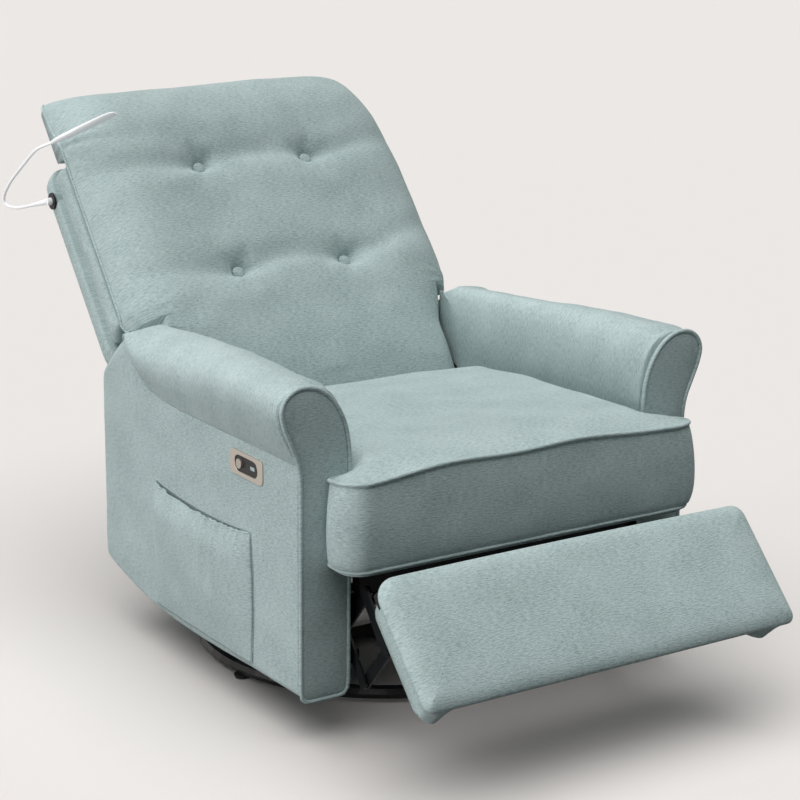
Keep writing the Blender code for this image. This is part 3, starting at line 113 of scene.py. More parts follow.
# worn_coat: any hard coat or moulding, patchy at two sizes, with dust where it faces up.
worn_coat, worn_in, worn_out = shader_group(
    "worn_coat",
    (
        ("Vector", "NodeSocketVector", None),
        ("Facing", "NodeSocketFloat", 0.0),
        ("Clean", "NodeSocketColor", COAT_BLACK),
        ("Dusty", "NodeSocketColor", COAT_DUST),
        ("Dust", "NodeSocketFloat", 0.3),
        ("Smooth", "NodeSocketFloat", 0.2),
        ("Dull", "NodeSocketFloat", 0.45),
    ),
    (("Colour", "NodeSocketColor"), ("Roughness", "NodeSocketFloat"), ("Height", "NodeSocketFloat")),
)
patches = spread(worn_coat, noise_in(worn_coat, worn_in.outputs["Vector"], COAT_PATCHES, 3.0), 0.38, 0.68)
specks = spread(worn_coat, noise_in(worn_coat, worn_in.outputs["Vector"], COAT_SPECKS, 1.0), 0.45, 0.75)
upward = spread(worn_coat, worn_in.outputs["Facing"], 0.3, 1.0)
dust = number(worn_coat, "MULTIPLY", number(worn_coat, "MULTIPLY", patches, upward), worn_in.outputs["Dust"])
dust = number(worn_coat, "ADD", dust, number(worn_coat, "MULTIPLY", specks, 0.04))
worn_coat.links.new(
    mixed(worn_coat, dust, worn_in.outputs["Clean"], worn_in.outputs["Dusty"]), worn_out.inputs["Colour"]
)
dull = number(worn_coat, "SUBTRACT", worn_in.outputs["Dull"], worn_in.outputs["Smooth"])
dull = number(worn_coat, "MULTIPLY", dull, number(worn_coat, "MAXIMUM", patches, dust))
worn_coat.links.new(
    number(worn_coat, "ADD", dull, worn_in.outputs["Smooth"]), worn_out.inputs["Roughness"]
)
peel = noise_in(worn_coat, worn_in.outputs["Vector"], COAT_PEEL, 1.0)
worn_coat.links.new(peel, worn_out.inputs["Height"])


def hard_material(name, clean, dusty, dust, smooth, dull, metallic=0.0, peel_depth=0.00006):
    """A coat, moulding or bare metal from its clean and dusty colours and its roughness range."""
    made = bpy.data.materials.new(name)
    made.use_nodes = True
    tree = made.node_tree
    shader = tree.nodes["Principled BSDF"]
    shader.inputs["Metallic"].default_value = metallic
    black = clean[0] < 0.1
    shader.inputs["Specular IOR Level"].default_value = 0.22 if black else 0.5
    place = tree.nodes.new("ShaderNodeTexCoord")
    facing = tree.nodes.new("ShaderNodeSeparateXYZ")
    way = tree.nodes.new("ShaderNodeNewGeometry")
    tree.links.new(way.outputs["Normal"], facing.inputs["Vector"])
    coat = tree.nodes.new("ShaderNodeGroup")
    coat.node_tree = worn_coat
    tree.links.new(place.outputs["Object"], coat.inputs["Vector"])
    tree.links.new(facing.outputs["Z"], coat.inputs["Facing"])
    for label, value in zip(("Clean", "Dusty", "Dust", "Smooth", "Dull"), (clean, dusty, dust, smooth, dull)):
        coat.inputs[label].default_value = value
    join_shader(tree, coat, peel_depth)
    return made


def dress(made, *names):
    """Give the material to the frame's own pieces."""
    for name in names:
        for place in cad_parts[name].material_slots:
            place.material = made


gloss_black = hard_material("gloss_black_coat", COAT_BLACK, COAT_DUST, 0.35, 0.13, 0.36)
gloss_black.node_tree.nodes["Principled BSDF"].inputs["Coat Weight"].default_value = 0.12
dress(gloss_black, "base_ring", "base_hub", "swivel_plate", "glide_cradle")
dress(gloss_black, *[f"glide_link_{end}_{side}" for end in ("front", "rear") for side in ("left", "right")])

# The race of the swivel bearing and the actuator's carriage are bare zinc-plated steel,
# slightly brushed, and the floor glides are pressed black nylon.
zinc = hard_material("zinc_plate", (0.50, 0.51, 0.53, 1), (0.30, 0.30, 0.30, 1), 0.5, 0.22, 0.42, 1.0)
glide_nylon = hard_material(
    "glide_nylon", (0.018, 0.018, 0.020, 1), (0.09, 0.09, 0.09, 1), 0.3, 0.38, 0.55
)
dress(zinc, "bearing_race", "actuator_carriage")
dress(glide_nylon, *[f"base_foot_{i}" for i in range(1, 7)])

# The chassis: pressed steel side plates with their rails and cross tubes, and the lazy-tongs
# links of the footrest, punched and coated in the same gloss black, riveted together.
link_black = hard_material(
    "link_black_coat", (0.005, 0.005, 0.006, 1), (0.018, 0.019, 0.020, 1), 0.25, 0.22, 0.36
)
link_black.node_tree.nodes["Principled BSDF"].inputs["Coat Weight"].default_value = 0.08
dress(
    link_black,
    "side_plate_left", "side_plate_right", "glide_rail_left", "glide_rail_right",
    "cross_tube_front", "cross_tube_rear", "torque_tube", "back_bracket_left", "back_bracket_right",
)
for kind in ("lift", "guide", "short", "carry"):
    dress(link_black, f"footrest_{kind}_link_left", f"footrest_{kind}_link_right")

# The actuator: a black moulded gearbox with its motor can, screwed to an extruded rail of
# grey anodised metal that lies along the chassis.
motor_black = hard_material(
    "motor_black", (0.010, 0.010, 0.011, 1), (0.035, 0.035, 0.035, 1), 0.3, 0.42, 0.6, 0.0, 0.0001
)
rail_grey = hard_material("rail_grey", (0.16, 0.165, 0.17, 1), (0.22, 0.22, 0.22, 1), 0.3, 0.28, 0.45, 0.9)
dress(motor_black, "actuator_motor")
dress(rail_grey, "actuator_rail")

# The seat deck and the footrest's board are plywood and rails. Black cambric, a bonded dust
# cloth, is stapled over them. The same black cloth lines the arms where they face the mechanism,
# put there as painted shade to darken the gap under the seat.
cambric_and_painted_shade = hard_material(
    "cambric_and_painted_shade", (0.016, 0.016, 0.017, 1), (0.040, 0.040, 0.041, 1), 0.3, 0.75, 0.9, 0.0, 0.0003
)
dress(cambric_and_painted_shade, "seat_deck", "footrest_board")

# The seat cushion: a T-shaped foam block in chenille, its wings in front of the arms, with a
# welt round its top and bottom edges. The cover is cut so that the slub runs across.
SEAT_HALF = 0.300
SEAT_WING_HALF = 0.359
SEAT_WING_RIGHT = 0.346
SEAT_WING_Y = -0.3695
SEAT_FRONT = -0.443
SEAT_REAR = 0.160
SEAT_LOW = 0.3068
SEAT_HIGH = 0.456
SEAT_FALL = 0.060
SEAT_SPINE_Y = -0.405
SEAT_MIDDLE_HIGH = 0.4845
WELT_R = 0.0034
CLOTH_LIGHT = (0.550, 0.642, 0.643, 1)
CLOTH_MIDDLE = (0.445, 0.535, 0.533, 1)
CLOTH_DARK = (0.285, 0.370, 0.367, 1)
SLUB_SIZE = (0.0100, 0.0021)
THREAD_SIZE = (0.0042, 0.0012)
NAP_SIZE = (0.11, 0.07)

# chenille_yarn: the slubbed weave, its vector in metres with the slub along the first axis.
chenille_yarn, yarn_in, yarn_out = shader_group(
    "chenille_yarn",
    (
        ("Vector", "NodeSocketVector", None),
        ("Light", "NodeSocketColor", CLOTH_LIGHT),
        ("Middle", "NodeSocketColor", CLOTH_MIDDLE),
        ("Dark", "NodeSocketColor", CLOTH_DARK),
    ),
    (("Colour", "NodeSocketColor"), ("Roughness", "NodeSocketFloat"), ("Height", "NodeSocketFloat")),
)


def yarn_noise(along, across, detail, rough):
    shrink = chenille_yarn.nodes.new("ShaderNodeVectorMath")
    shrink.operation = "MULTIPLY"
    shrink.inputs[1].default_value = (1 / along, 1 / across, 1.0)
    chenille_yarn.links.new(yarn_in.outputs["Vector"], shrink.inputs[0])
    return noise_in(chenille_yarn, shrink.outputs["Vector"], 1.0, detail, rough)


slub = spread(chenille_yarn, yarn_noise(*SLUB_SIZE, 2.0, 0.6), 0.31, 0.69)
thread = spread(chenille_yarn, yarn_noise(*THREAD_SIZE, 1.0, 0.5), 0.25, 0.75)
nap = yarn_noise(*NAP_SIZE, 2.0, 0.5)
both = number(
    chenille_yarn, "ADD", number(chenille_yarn, "MULTIPLY", slub, 0.55),
    number(chenille_yarn, "MULTIPLY", thread, 0.45),
)
both = number(chenille_yarn, "ADD", both, spread(chenille_yarn, nap, 0.3, 0.7, -0.10, 0.10))
shade_low = mixed(
    chenille_yarn, spread(chenille_yarn, both, 0.12, 0.52), yarn_in.outputs["Dark"], yarn_in.outputs["Middle"]
)
shade = mixed(chenille_yarn, spread(chenille_yarn, both, 0.50, 0.92), shade_low, yarn_in.outputs["Light"])
chenille_yarn.links.new(shade, yarn_out.inputs["Colour"])
chenille_yarn.links.new(spread(chenille_yarn, both, 0.0, 1.0, 0.96, 0.80), yarn_out.inputs["Roughness"])
chenille_yarn.links.new(both, yarn_out.inputs["Height"])


chenille = bpy.data.materials.new("chenille")
chenille.use_nodes = True
cloth = chenille.node_tree
nap_shader = cloth.nodes["Principled BSDF"]
nap_shader.inputs["Sheen Weight"].default_value = 0.13
nap_shader.inputs["Sheen Roughness"].default_value = 0.5
nap_shader.inputs["Specular IOR Level"].default_value = 0.25
layout = cloth.nodes.new("ShaderNodeUVMap")
layout.uv_map = "weave"
yarn = cloth.nodes.new("ShaderNodeGroup")
yarn.node_tree = chenille_yarn
cloth.links.new(layout.outputs["UV"], yarn.inputs["Vector"])
for label, colour in (("Light", CLOTH_LIGHT), ("Middle", CLOTH_MIDDLE), ("Dark", CLOTH_DARK)):
    yarn.inputs[label].default_value = colour
join_shader(cloth, yarn, 0.0008, 0.7)


def rounded_outline(corners, spacing):
    """Evenly spaced points round a closed outline; corners are (a, b, radius) in order."""
    path = []
    for i, (a, b, radius) in enumerate(corners):
        here = np.array((a, b))
        back = np.array(corners[i - 1][:2]) - here
        ahead = np.array(corners[(i + 1) % len(corners)][:2]) - here
        back, ahead = back / np.linalg.norm(back), ahead / np.linalg.norm(ahead)
        half = math.acos(max(-1.0, min(1.0, float(back @ ahead)))) / 2
        reach = radius / math.tan(half)
        middle = here + (back + ahead) / np.linalg.norm(back + ahead) * radius / math.sin(half)
        start, end = here + back * reach - middle, here + ahead * reach - middle
        first = math.atan2(start[1], start[0])
        sweep = (math.atan2(end[1], end[0]) - first + math.pi) % (2 * math.pi) - math.pi
        for step in range(13):
            angle = first + sweep * step / 12
            path.append(middle + radius * np.array((math.cos(angle), math.sin(angle))))
    path = np.array(path + [path[0]])
    reach = np.concatenate(([0], np.cumsum(np.linalg.norm(np.diff(path, axis=0), axis=1))))
    count = int(round(reach[-1] / spacing))
    at = np.linspace(0, reach[-1], count, endpoint=False)
    return np.stack([np.interp(at, reach, path[:, axis]) for axis in (0, 1)], axis=1)


def depth_inside(points, outline):
    """Distance of each point from the nearest place on the closed outline."""
    start, end = outline, np.roll(outline, -1, axis=0)
    along = end - start
    length = (along**2).sum(1)
    found = []
    for point in points:
        part = np.clip(((point - start) * along).sum(1) / length, 0, 1)
        found.append(np.sqrt((((start + along * part[:, None]) - point) ** 2).sum(1).min()))
    return np.array(found)


def pick(piece):
    """Select the piece alone, as by hand."""
    bpy.ops.object.select_all(action="DESELECT")
    piece.select_set(True)
    bpy.context.view_layer.objects.active = piece


def cover(name, rings, weave, cap_axes=None):
    """A closed cover through cross-sections of equal count, sewn shut at both ends."""
    rows, columns = len(rings), len(rings[0])
    points = [tuple(p) for ring in rings for p in ring]
    faces, laid = [], []
    for i in range(rows - 1):
        for j in range(columns):
            k = (j + 1) % columns
            faces.append(tuple(a * columns + b for a, b in ((i, j), (i, k), (i + 1, k), (i + 1, j))))
            laid += [weave(i, j), weave(i, j + 1), weave(i + 1, j + 1), weave(i + 1, j)]
    half, rungs = columns // 2, np.arange(columns // 2)
    for i in (0, rows - 1):
        ring = np.array(rings[i])
        first = min(range(columns), key=lambda k: float(
            ((ring[(k + rungs) % columns] - ring[(k - 1 - rungs) % columns]) ** 2).sum()
        ))
        left = [(first + n) % columns for n in range(half)]
        right = [(first - 1 - n) % columns for n in range(half)]
        middle = (ring[left] + ring[right]) / 2
        gone = np.linalg.norm(middle - middle[0], axis=1)
        cuts = [n for n in range(half) if 0.03 < gone[n] / gone[-1] < 0.97]
        for a, b in zip([0] + cuts, cuts + [half - 1]):
            past = [(first + half) % columns] if b == half - 1 and columns % 2 else []
            face = left[a : b + 1] + past + right[a : b + 1][::-1]
            faces.append(tuple(i * columns + j for j in face))
            laid += [ring[j][list(cap_axes)] if cap_axes else weave(i, j) for j in face]
    mesh = bpy.data.meshes.new(name)
    mesh.from_pydata(points, [], faces)
    layer = mesh.uv_layers.new(name="weave")
    layer.data.foreach_set("uv", np.array(laid, dtype=float).ravel())
    mesh.materials.append(chenille)
    piece = bpy.data.objects.new(name, mesh)
    bpy.context.collection.objects.link(piece)
    pick(piece)
    bpy.ops.object.mode_set(mode="EDIT")
    bpy.ops.mesh.select_all(action="SELECT")
    bpy.ops.mesh.normals_make_consistent(inside=False)
    bpy.ops.object.mode_set(mode="OBJECT")
    bpy.ops.object.shade_smooth()
    return piece


def welt(name, route, body, radius=WELT_R, closed=True):
    """A covered cord sewn into a seam along the route."""
    route = [Vector(p) for p in route]
    curve = bpy.data.curves.new(name, "CURVE")
    curve.dimensions = "3D"
    curve.bevel_depth = radius
    curve.bevel_resolution = 2
    curve.use_fill_caps = not closed
    line = curve.splines.new("POLY")
    line.points.add(len(route) - 1)
    for point, place in zip(line.points, route):
        point.co = (*place, 1)
    line.use_cyclic_u = closed
    piece = bpy.data.objects.new(name, curve)
    bpy.context.collection.objects.link(piece)
    pick(piece)
    bpy.ops.object.convert(target="MESH")
    piece = bpy.context.object
    mesh = piece.data
    while mesh.uv_layers:
        mesh.uv_layers.remove(mesh.uv_layers[0])
    layer = mesh.uv_layers.new(name="weave")
    for loop in mesh.loops:
        x, y, z = mesh.vertices[loop.vertex_index].co
        layer.data[loop.index].uv = (0.7 * x + 0.5 * y + 0.2 * z, 0.4 * y + 0.9 * z)
    mesh.materials.clear()
    mesh.materials.append(chenille)
    bpy.ops.object.shade_smooth()
    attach(piece, body)
    return piece


def soft_wave(x, y, z, size, seed=0.0):
    """A gentle unevenness of about the given size, between -1 and 1."""
    return noise.noise(Vector((x / size + seed, y / size + 1.7 * seed, z / size - seed)))


seat_line = rounded_outline(
    [
        (-SEAT_WING_RIGHT, SEAT_FRONT, 0.040), (SEAT_WING_HALF, SEAT_FRONT, 0.042),
        (SEAT_WING_HALF, SEAT_WING_Y, 0.022), (SEAT_HALF, SEAT_WING_Y, 0.003),
        (SEAT_HALF, SEAT_REAR, 0.030), (-SEAT_HALF, SEAT_REAR, 0.030),
        (-SEAT_HALF, SEAT_WING_Y, 0.003), (-SEAT_WING_RIGHT, SEAT_WING_Y, 0.016),
    ],
    0.0085,
)


def reach_round(line):
    """How far each point of a closed outline lies along it, and the whole way round last."""
    line = np.array(line)
    return np.concatenate(([0], np.cumsum(np.linalg.norm(np.roll(line, -1, axis=0) - line, axis=1))))


seat_reach = reach_round(seat_line)


def share(value):
    """The value, held between 0 and 1."""
    return max(0.0, min(1.0, value))


def seat_edge_z(y, x=0.30):
    """Height of the cushion's top seam, which arcs up a little along the front."""
    front = share((-0.34 - y) / 0.08)
    arc = 0.0105 * (1 - min(1.0, abs(x) / 0.31) ** 3) + 0.0022 * math.cos(2 * math.pi * (x + 0.16) / 0.26)
    return SEAT_HIGH + front * arc - SEAT_FALL * (y - SEAT_FRONT) / (SEAT_REAR - SEAT_FRONT)


def outward(line):
    """Unit normals of a closed outline that runs anticlockwise."""
    along = np.roll(line, -1, axis=0) - np.roll(line, 1, axis=0)
    along = along / np.linalg.norm(along, axis=1)[:, None]
    return np.stack([along[:, 1], -along[:, 0]], axis=1)


seat_out = outward(seat_line)
seat_spine = np.array([
    (0.0, SEAT_SPINE_Y if abs(x) > SEAT_HALF + 0.0005 else max(SEAT_SPINE_Y, min(0.0, y)))
    for x, y in seat_line
])


def seat_shrunk(keep):
    """The cushion's plan, drawn in towards its spine."""
    return seat_spine + (seat_line - seat_spine) * keep


def seat_side(rise):
    """One ring of the cushion's side, fullest a little below the middle."""
    ring = []
    for (x, y), (out_x, out_y) in zip(seat_line, seat_out):
        front = share((SEAT_WING_Y + 0.004 - y) / 0.03)
        z = SEAT_LOW + (seat_edge_z(y, x) - SEAT_LOW) * rise
        swell = math.sin(math.pi * rise**0.68) ** 0.62
        corner = (0.0100 if x > 0 else 0.0060) * abs(out_x)
        out = swell * (0.0004 + (0.0085 + corner) * front) - 0.0015 * front
        out += 0.0020 * front * swell * soft_wave(x, y, z, 0.075, 3.0)
        ring.append((x + out_x * out, y + out_y * out, z))
    return ring


def soft_step(value):
    """The share with soft ends."""
    part = share(value)
    return part * part * (3 - 2 * part)


def shoulder(inward, width):
    """How far the crown has risen at a distance inside the seam, from 0 to 1."""
    return 1 - (1 - share(inward / width)) ** 2.2


def seat_top(x, y):
    """Height of the crowned top: shoulders rise from the seams to a broad, gently falling middle."""
    notch = math.hypot(max(0.0, SEAT_HALF - abs(x)), max(0.0, SEAT_WING_Y - y))
    full = shoulder(y - SEAT_FRONT, 0.100) * shoulder(SEAT_REAR - y, 0.085)
    full *= shoulder((SEAT_WING_HALF if x > 0 else SEAT_WING_RIGHT) - abs(x), 0.090) * shoulder(notch, 0.036)
    middle = SEAT_MIDDLE_HIGH - 0.030 * (y + 0.36) - 0.060 * max(0.0, y + 0.06) - 0.006 * (x / 0.3) ** 2
    edge = seat_edge_z(y, x)
    dimple = 0.0028 * full * soft_wave(x, y, 0, 0.14, 1.0) + 0.0010 * full * soft_wave(x, y, 0, 0.05, 21.0)
    return edge + (middle - edge) * full + dimple


seat_rings, seat_kinds = [], []
for keep in (0.02, 0.3, 0.6, 0.85, 0.97):
    seat_rings.append([(x, y, SEAT_LOW) for x, y in seat_shrunk(keep)])
    seat_kinds.append("plan")
for step in range(19):
    seat_rings.append(seat_side(step / 18))
    seat_kinds.append("side")
SEAT_TOP_KEEPS = (
    0.993, 0.98, 0.965, 0.945, 0.92, 0.89, 0.855, 0.815, 0.77, 0.72, 0.66, 0.60, 0.53, 0.46, 0.39, 0.32,
    0.25, 0.18, 0.12, 0.07,
)
for keep in SEAT_TOP_KEEPS:
    seat_rings.append([(x, y, seat_top(x, y)) for x, y in seat_shrunk(keep)])
    seat_kinds.append("plan")


def seat_weave(i, j):
    x, y, z = seat_rings[i][j % len(seat_line)]
    if seat_kinds[i] == "side":
        return seat_reach[j], z
    return x, y


cushion = cover("seat_cushion_cover", seat_rings, seat_weave)
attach(cushion, "chassis")
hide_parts("seat_cushion")


def welt_place(x, y, out, inside):
    """The welt stands out in front, and lies drawn in between the arms."""
    return out if y < SEAT_WING_Y - 0.004 else inside


top_route = [
    (x + a * welt_place(x, y, 0.0012, -0.0040), y + b * 0.0012, seat_edge_z(y, x))
    for (x, y), (a, b) in zip(seat_line, seat_out)
]
low_route = [
    (x + a * welt_place(x, y, 0.0008, -0.0040), y + b * 0.0008, SEAT_LOW + 0.003)
    for (x, y), (a, b) in zip(seat_line, seat_out)
]
welt("seat_top_welt", top_route, "chassis")
welt("seat_low_welt", low_route, "chassis")

# The seat's platform border: a thin strip of the same cloth over the deck's edge, under the
# cushion's wings and front, folded over and stapled to the deck.
border_rings = []
for inward, z in ((0.30, 0.3058), (0.02, 0.3058), (0.004, 0.3058), (0.0010, 0.3050), (0.0, 0.3032),
                  (0.0010, 0.3014), (0.004, 0.3006), (0.02, 0.3004), (0.30, 0.3004)):
    flat = seat_line - seat_out * (0.004 + inward) if inward < 0.1 else seat_shrunk(0.2)
    ripple = 0.0006 if z < 0.3012 else 0.0
    border_rings.append([(x, y, z + ripple * soft_wave(x, y, 0, 0.06, 16.0)) for x, y in flat])


def border_weave(i, j):
    return seat_reach[j], border_rings[i][0][2] + 0.01 * i


border = cover("seat_border", border_rings, border_weave)
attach(border, "chassis")

# The arms: a padded frame with a flat outer panel, a foam roll along its top that tapers
# into the panel at the rear, and a keyhole front panel sewn in with a welt. The panel's slub
# runs fore and aft, and the roll's runs round it.
ARM_IN = 0.302
ARM_OUT = 0.388
ARM_FRONT = -0.3547
ARM_REAR = 0.3458
ARM_LOW_ROUTE = (
    (-0.36, 0.081), (-0.197, 0.0785), (-0.10, 0.0745), (0.0, 0.0725), (0.09, 0.0735), (0.158, 0.078),
    (0.227, 0.0885), (0.278, 0.100), (0.315, 0.109), (0.336, 0.116), (0.346, 0.124),
)
SEAM_ROUTE = (
    (-0.36, 0.470), (0.05, 0.470), (0.11, 0.473), (0.159, 0.481), (0.190, 0.4935), (0.217, 0.510),
    (0.242, 0.540), (0.260, 0.566), (0.30, 0.60),
)
ROLL_END_Y = 0.268
ROLL_CORE_X, ROLL_CORE_Z = 0.350, 0.54
ROLL_UNDER_Z = 0.4703
SHADE_LINING_HIGH = 0.40
FRONT_PANEL_Y = -0.3552
FRONT_PANEL_THICK = 0.0122
FRONT_WELT_Y = -0.3648
FRONT_WELT_R = 0.0037
ROLL_TOP_ROUTE = (
    (-0.3547, 0.5985), (-0.335, 0.6035), (-0.30, 0.6065), (-0.20, 0.6080), (-0.10, 0.6035),
    (0.0, 0.5970), (0.10, 0.5895), (0.16, 0.5845), (0.22, 0.5790),
)


def height_at(y, route):
    return float(np.interp(y, *zip(*route)))


def roll_top(y):
    """The roll's ridge: a low arc, dropping to the arm's rear end clear of the back."""
    drop = share((y - 0.14) / 0.206)
    crest = [height_at(y + shift, ROLL_TOP_ROUTE) for shift in (-0.02, 0.0, 0.02)]
    return min(sum(crest) / 3, 0.604 - 0.116 * drop**1.9)


def panel_ring(y, shrink=0.0):
    """Section of the flat arm body, going round from its outer bottom corner."""
    top = min(height_at(y, SEAM_ROUTE) + 0.003, roll_top(y) - 0.0006) - shrink
    low = height_at(y, ARM_LOW_ROUTE) + shrink
    rest = share((roll_top(y) - height_at(y, SEAM_ROUTE)) / 0.04)
    corner_out = 0.026 - 0.023 * rest
    corner_in = 0.020 - 0.017 * rest
    left, right = ARM_IN + 0.001 + shrink, ARM_OUT - shrink
    ring = []
    corners = (
        (right, low, 0.012, -90), (right, top, corner_out, 0),
        (left, top, corner_in, 90), (left, low, 0.006, 180),
    )
    for n, (x, z, radius, first) in enumerate(corners):
        radius = max(0.0005, radius - shrink * 0.5)
        cx = x - radius if n < 2 else x + radius
        cz = z + radius if n in (0, 3) else z - radius
        for step in range(9):
            angle = math.radians(first + 90 * step / 8)
            ring.append((cx + radius * math.cos(angle), y, cz + radius * math.sin(angle)))
        after_x, after_z, after_r = corners[(n + 1) % 4][:3]
        last = ring[-1]
        count = (60, 8, 14, 8)[n]
        goal = {
            0: (right, after_z - max(0.0005, after_r - shrink * 0.5)),
            1: (after_x + max(0.0005, after_r - shrink * 0.5), top),
            2: (left, low + 0.006),
            3: (right - 0.012, low),
        }[n]
        for step in range(1, count):
            part = step / count
            ring.append((last[0] + (goal[0] - last[0]) * part, y, last[2] + (goal[1] - last[2]) * part))
    shaped = []
    for x, yy, z in ring:
        if x > ARM_OUT - 0.004 - shrink:
            tuck = min(1.0, (top - z) / 0.03, (z - low) / 0.04)
            x += 0.0022 * max(0.0, tuck) - 0.0008 + 0.0012 * soft_wave(0, yy, z, 0.10, 5.0)
            x -= 0.0055 * math.exp(-(((yy + 0.173) / 0.016) ** 4) - (((z - 0.432) / 0.014) ** 4))
        shaped.append((x, yy, z))
    return shaped


panel_rings = [panel_ring(ARM_FRONT, 0.001)]
panel_places = [*np.linspace(ARM_FRONT + 0.003, 0.14, 26), *np.linspace(-0.198, -0.148, 12)]
for y in sorted(panel_places + list(np.linspace(0.15, ARM_REAR - 0.009, 26))):
    panel_rings.append(panel_ring(float(y)))
for step in range(1, 8):
    angle = math.pi / 2 * step / 7
    y = ARM_REAR - 0.009 + 0.011 * math.sin(angle)
    panel_rings.append(panel_ring(y, 0.011 * (1 - math.cos(angle))))


panel_reach = [reach_round(ring) for ring in panel_rings]


def panel_weave(i, j):
    return panel_rings[i][0][1], panel_reach[i][j]


def through(points, steps):
    """A smooth open curve through the points, with so many steps between each two."""
    points = np.array(points, dtype=float)
    padded = np.vstack([2 * points[0] - points[1], points, 2 * points[-1] - points[-2]])
    curve = []
    for i in range(1, len(padded) - 2):
        a, b, c, d = padded[i - 1 : i + 3]
        for step in range(steps):
            t = step / steps
            curve.append(0.5 * (2 * b + (c - a) * t + (2 * a - 5 * b + 4 * c - d) * t**2
                                + (3 * b - a - 3 * c + d) * t**3))
    curve.append(points[-1])
    return np.array(curve)


# Stations round the roll's section, from the outer seam over the top to the inner side, as x and
# share of the height: at the front panel, where it stands fullest outwards, and at the rear.
ROLL_FRONT = (
    (0.3868, 0.0), (0.4010, 0.17), (0.4180, 0.42), (0.4290, 0.66), (0.4230, 0.86), (0.3990, 0.975),
    (0.3600, 1.0), (0.3280, 0.905), (0.3085, 0.70), (0.3000, 0.44), (0.2975, 0.15),
)
ROLL_REAR = (
    (0.3868, 0.0), (0.3960, 0.17), (0.4060, 0.36), (0.4080, 0.55), (0.3990, 0.72), (0.3790, 0.85),
    (0.3480, 0.955), (0.3220, 0.975), (0.3060, 0.84), (0.2990, 0.54), (0.2975, 0.18),
)


def roll_section(y, shrink=0.0):
    """Section of the padded roll: from the seam outwards, over the top and down inside."""
    top = roll_top(y) - shrink
    seam = min(height_at(y, SEAM_ROUTE) + shrink * 0.5, top - 0.004)
    height = top - seam
    rear = soft_step((y + 0.33) / 0.44)
    bulge = min(1.0, height / 0.10) * (1 - shrink / 0.02)
    ease = share((y - 0.08) / 0.15)
    stations = []
    for (x1, part1), (x2, part2) in zip(ROLL_FRONT, ROLL_REAR):
        x, part = x1 + (x2 - x1) * rear, part1 + (part2 - part1) * rear
        if x > ARM_OUT - 0.002:
            x = ARM_OUT - 0.002 + (x - ARM_OUT + 0.002) * bulge - shrink * 0.6
        if x < 0.31:
            x += 0.0035 * ease + shrink
        stations.append((x, seam + height * part))
    low = seat_edge_z(min(y, SEAT_REAR)) + 0.0065
    inner_x = 0.2993 + 0.0025 * ease + shrink
    for n in (8, 9, 10):
        stations[n] = (stations[n][0], max(stations[n][1], low + 0.012 * (11.5 - n)))
    stations.append((inner_x, low + 0.35 * (stations[-1][1] - low)))
    stations.append((inner_x + 0.0004, low))
    ring = []
    curve = through(stations, 6)
    for n, (x, z) in enumerate(curve):
        swell = math.sin(math.pi * n / (len(curve) - 1))
        puff = swell * (0.0022 * soft_wave(0.4, y, z, 0.085, 9.0) + 0.0010 * soft_wave(0.1, y, z, 0.030, 2.0))
        dip = 0.0030 * swell * math.exp(-(((y + 0.347) / 0.010) ** 2))
        off_x, off_z = x - ROLL_CORE_X, z - ROLL_CORE_Z
        out = (puff - dip) / max(0.03, math.hypot(off_x, off_z))
        ring.append((x + out * off_x, y, z + out * off_z))
    ring.append((inner_x + 0.0020, y, low + 0.0005))
    ring.append((ARM_IN + 0.0008, y, low + 0.003))
    ring.append((ARM_IN + 0.0010, y, max(0.4685, low + 0.006)))
    under = min(seam, ROLL_UNDER_Z) + (0.0 if y < 0.2 else shrink)
    for part in (0.12, 0.4, 0.7, 0.92):
        x = ARM_IN + 0.004 + (ARM_OUT - ARM_IN - 0.010) * part
        ring.append((x, y, under + (seam - under) * part))
    return ring


roll_rings = [roll_section(ARM_FRONT, 0.006), roll_section(ARM_FRONT + 0.0008, 0.0025)]
for start, end, count in (
    (ARM_FRONT + 0.003, -0.325, 12), (-0.320, 0.13, 44), (0.137, ROLL_END_Y - 0.004, 24),
):
    roll_rings += [roll_section(float(y)) for y in np.linspace(start, end, count)]
roll_rings += [roll_section(ROLL_END_Y, 0.004), roll_section(ROLL_END_Y + 0.004, 0.010)]
roll_reach = [reach_round(ring) for ring in roll_rings]


def roll_weave(i, j):
    return roll_reach[i][j], roll_rings[i][0][1]


KEYHOLE_HEAD = (
    (0.3879, 0.440), (0.3893, 0.4620), (0.3945, 0.4860), (0.4060, 0.5130), (0.4180, 0.5420),
    (0.4225, 0.5660), (0.4145, 0.5855), (0.3960, 0.5975), (0.3730, 0.5985), (0.3510, 0.5905),
    (0.3330, 0.5750), (0.3180, 0.5530), (0.3085, 0.5290), (0.3035, 0.5040), (0.3015, 0.4750),
    (0.3018, 0.440),
)
keyhole = [tuple(point) for point in through(KEYHOLE_HEAD, 6)]
keyhole += [(0.3022, z) for z in np.linspace(0.42, 0.10, 24)]
keyhole += [(0.304, 0.088), (0.310, 0.080), *[(x, 0.0785) for x in (0.318, 0.335, 0.355, 0.372)]]
keyhole += [(0.380, 0.080), (0.3860, 0.086), (0.3878, 0.096)]
keyhole += [(0.3879, z) for z in np.linspace(0.115, 0.425, 26)]
keyhole = np.array(keyhole)
panel_spine = np.array([
    (0.345 + 0.024 * share((z - 0.42) / 0.13), min(0.548, max(0.115, z))) for x, z in keyhole
])
front_rings = []
for keep in (0.04, 0.5, 1.0):
    front_rings.append([(x, FRONT_PANEL_Y, z) for x, z in panel_spine + (keyhole - panel_spine) * keep])
FRONT_STATIONS = (
    (1.0, 0.30), (1.0, 0.55), (0.985, 0.72), (0.95, 0.82), (0.9, 0.90), (0.8, 0.97), (0.65, 1.02),
    (0.45, 1.06), (0.25, 1.08), (0.04, 1.085),
)
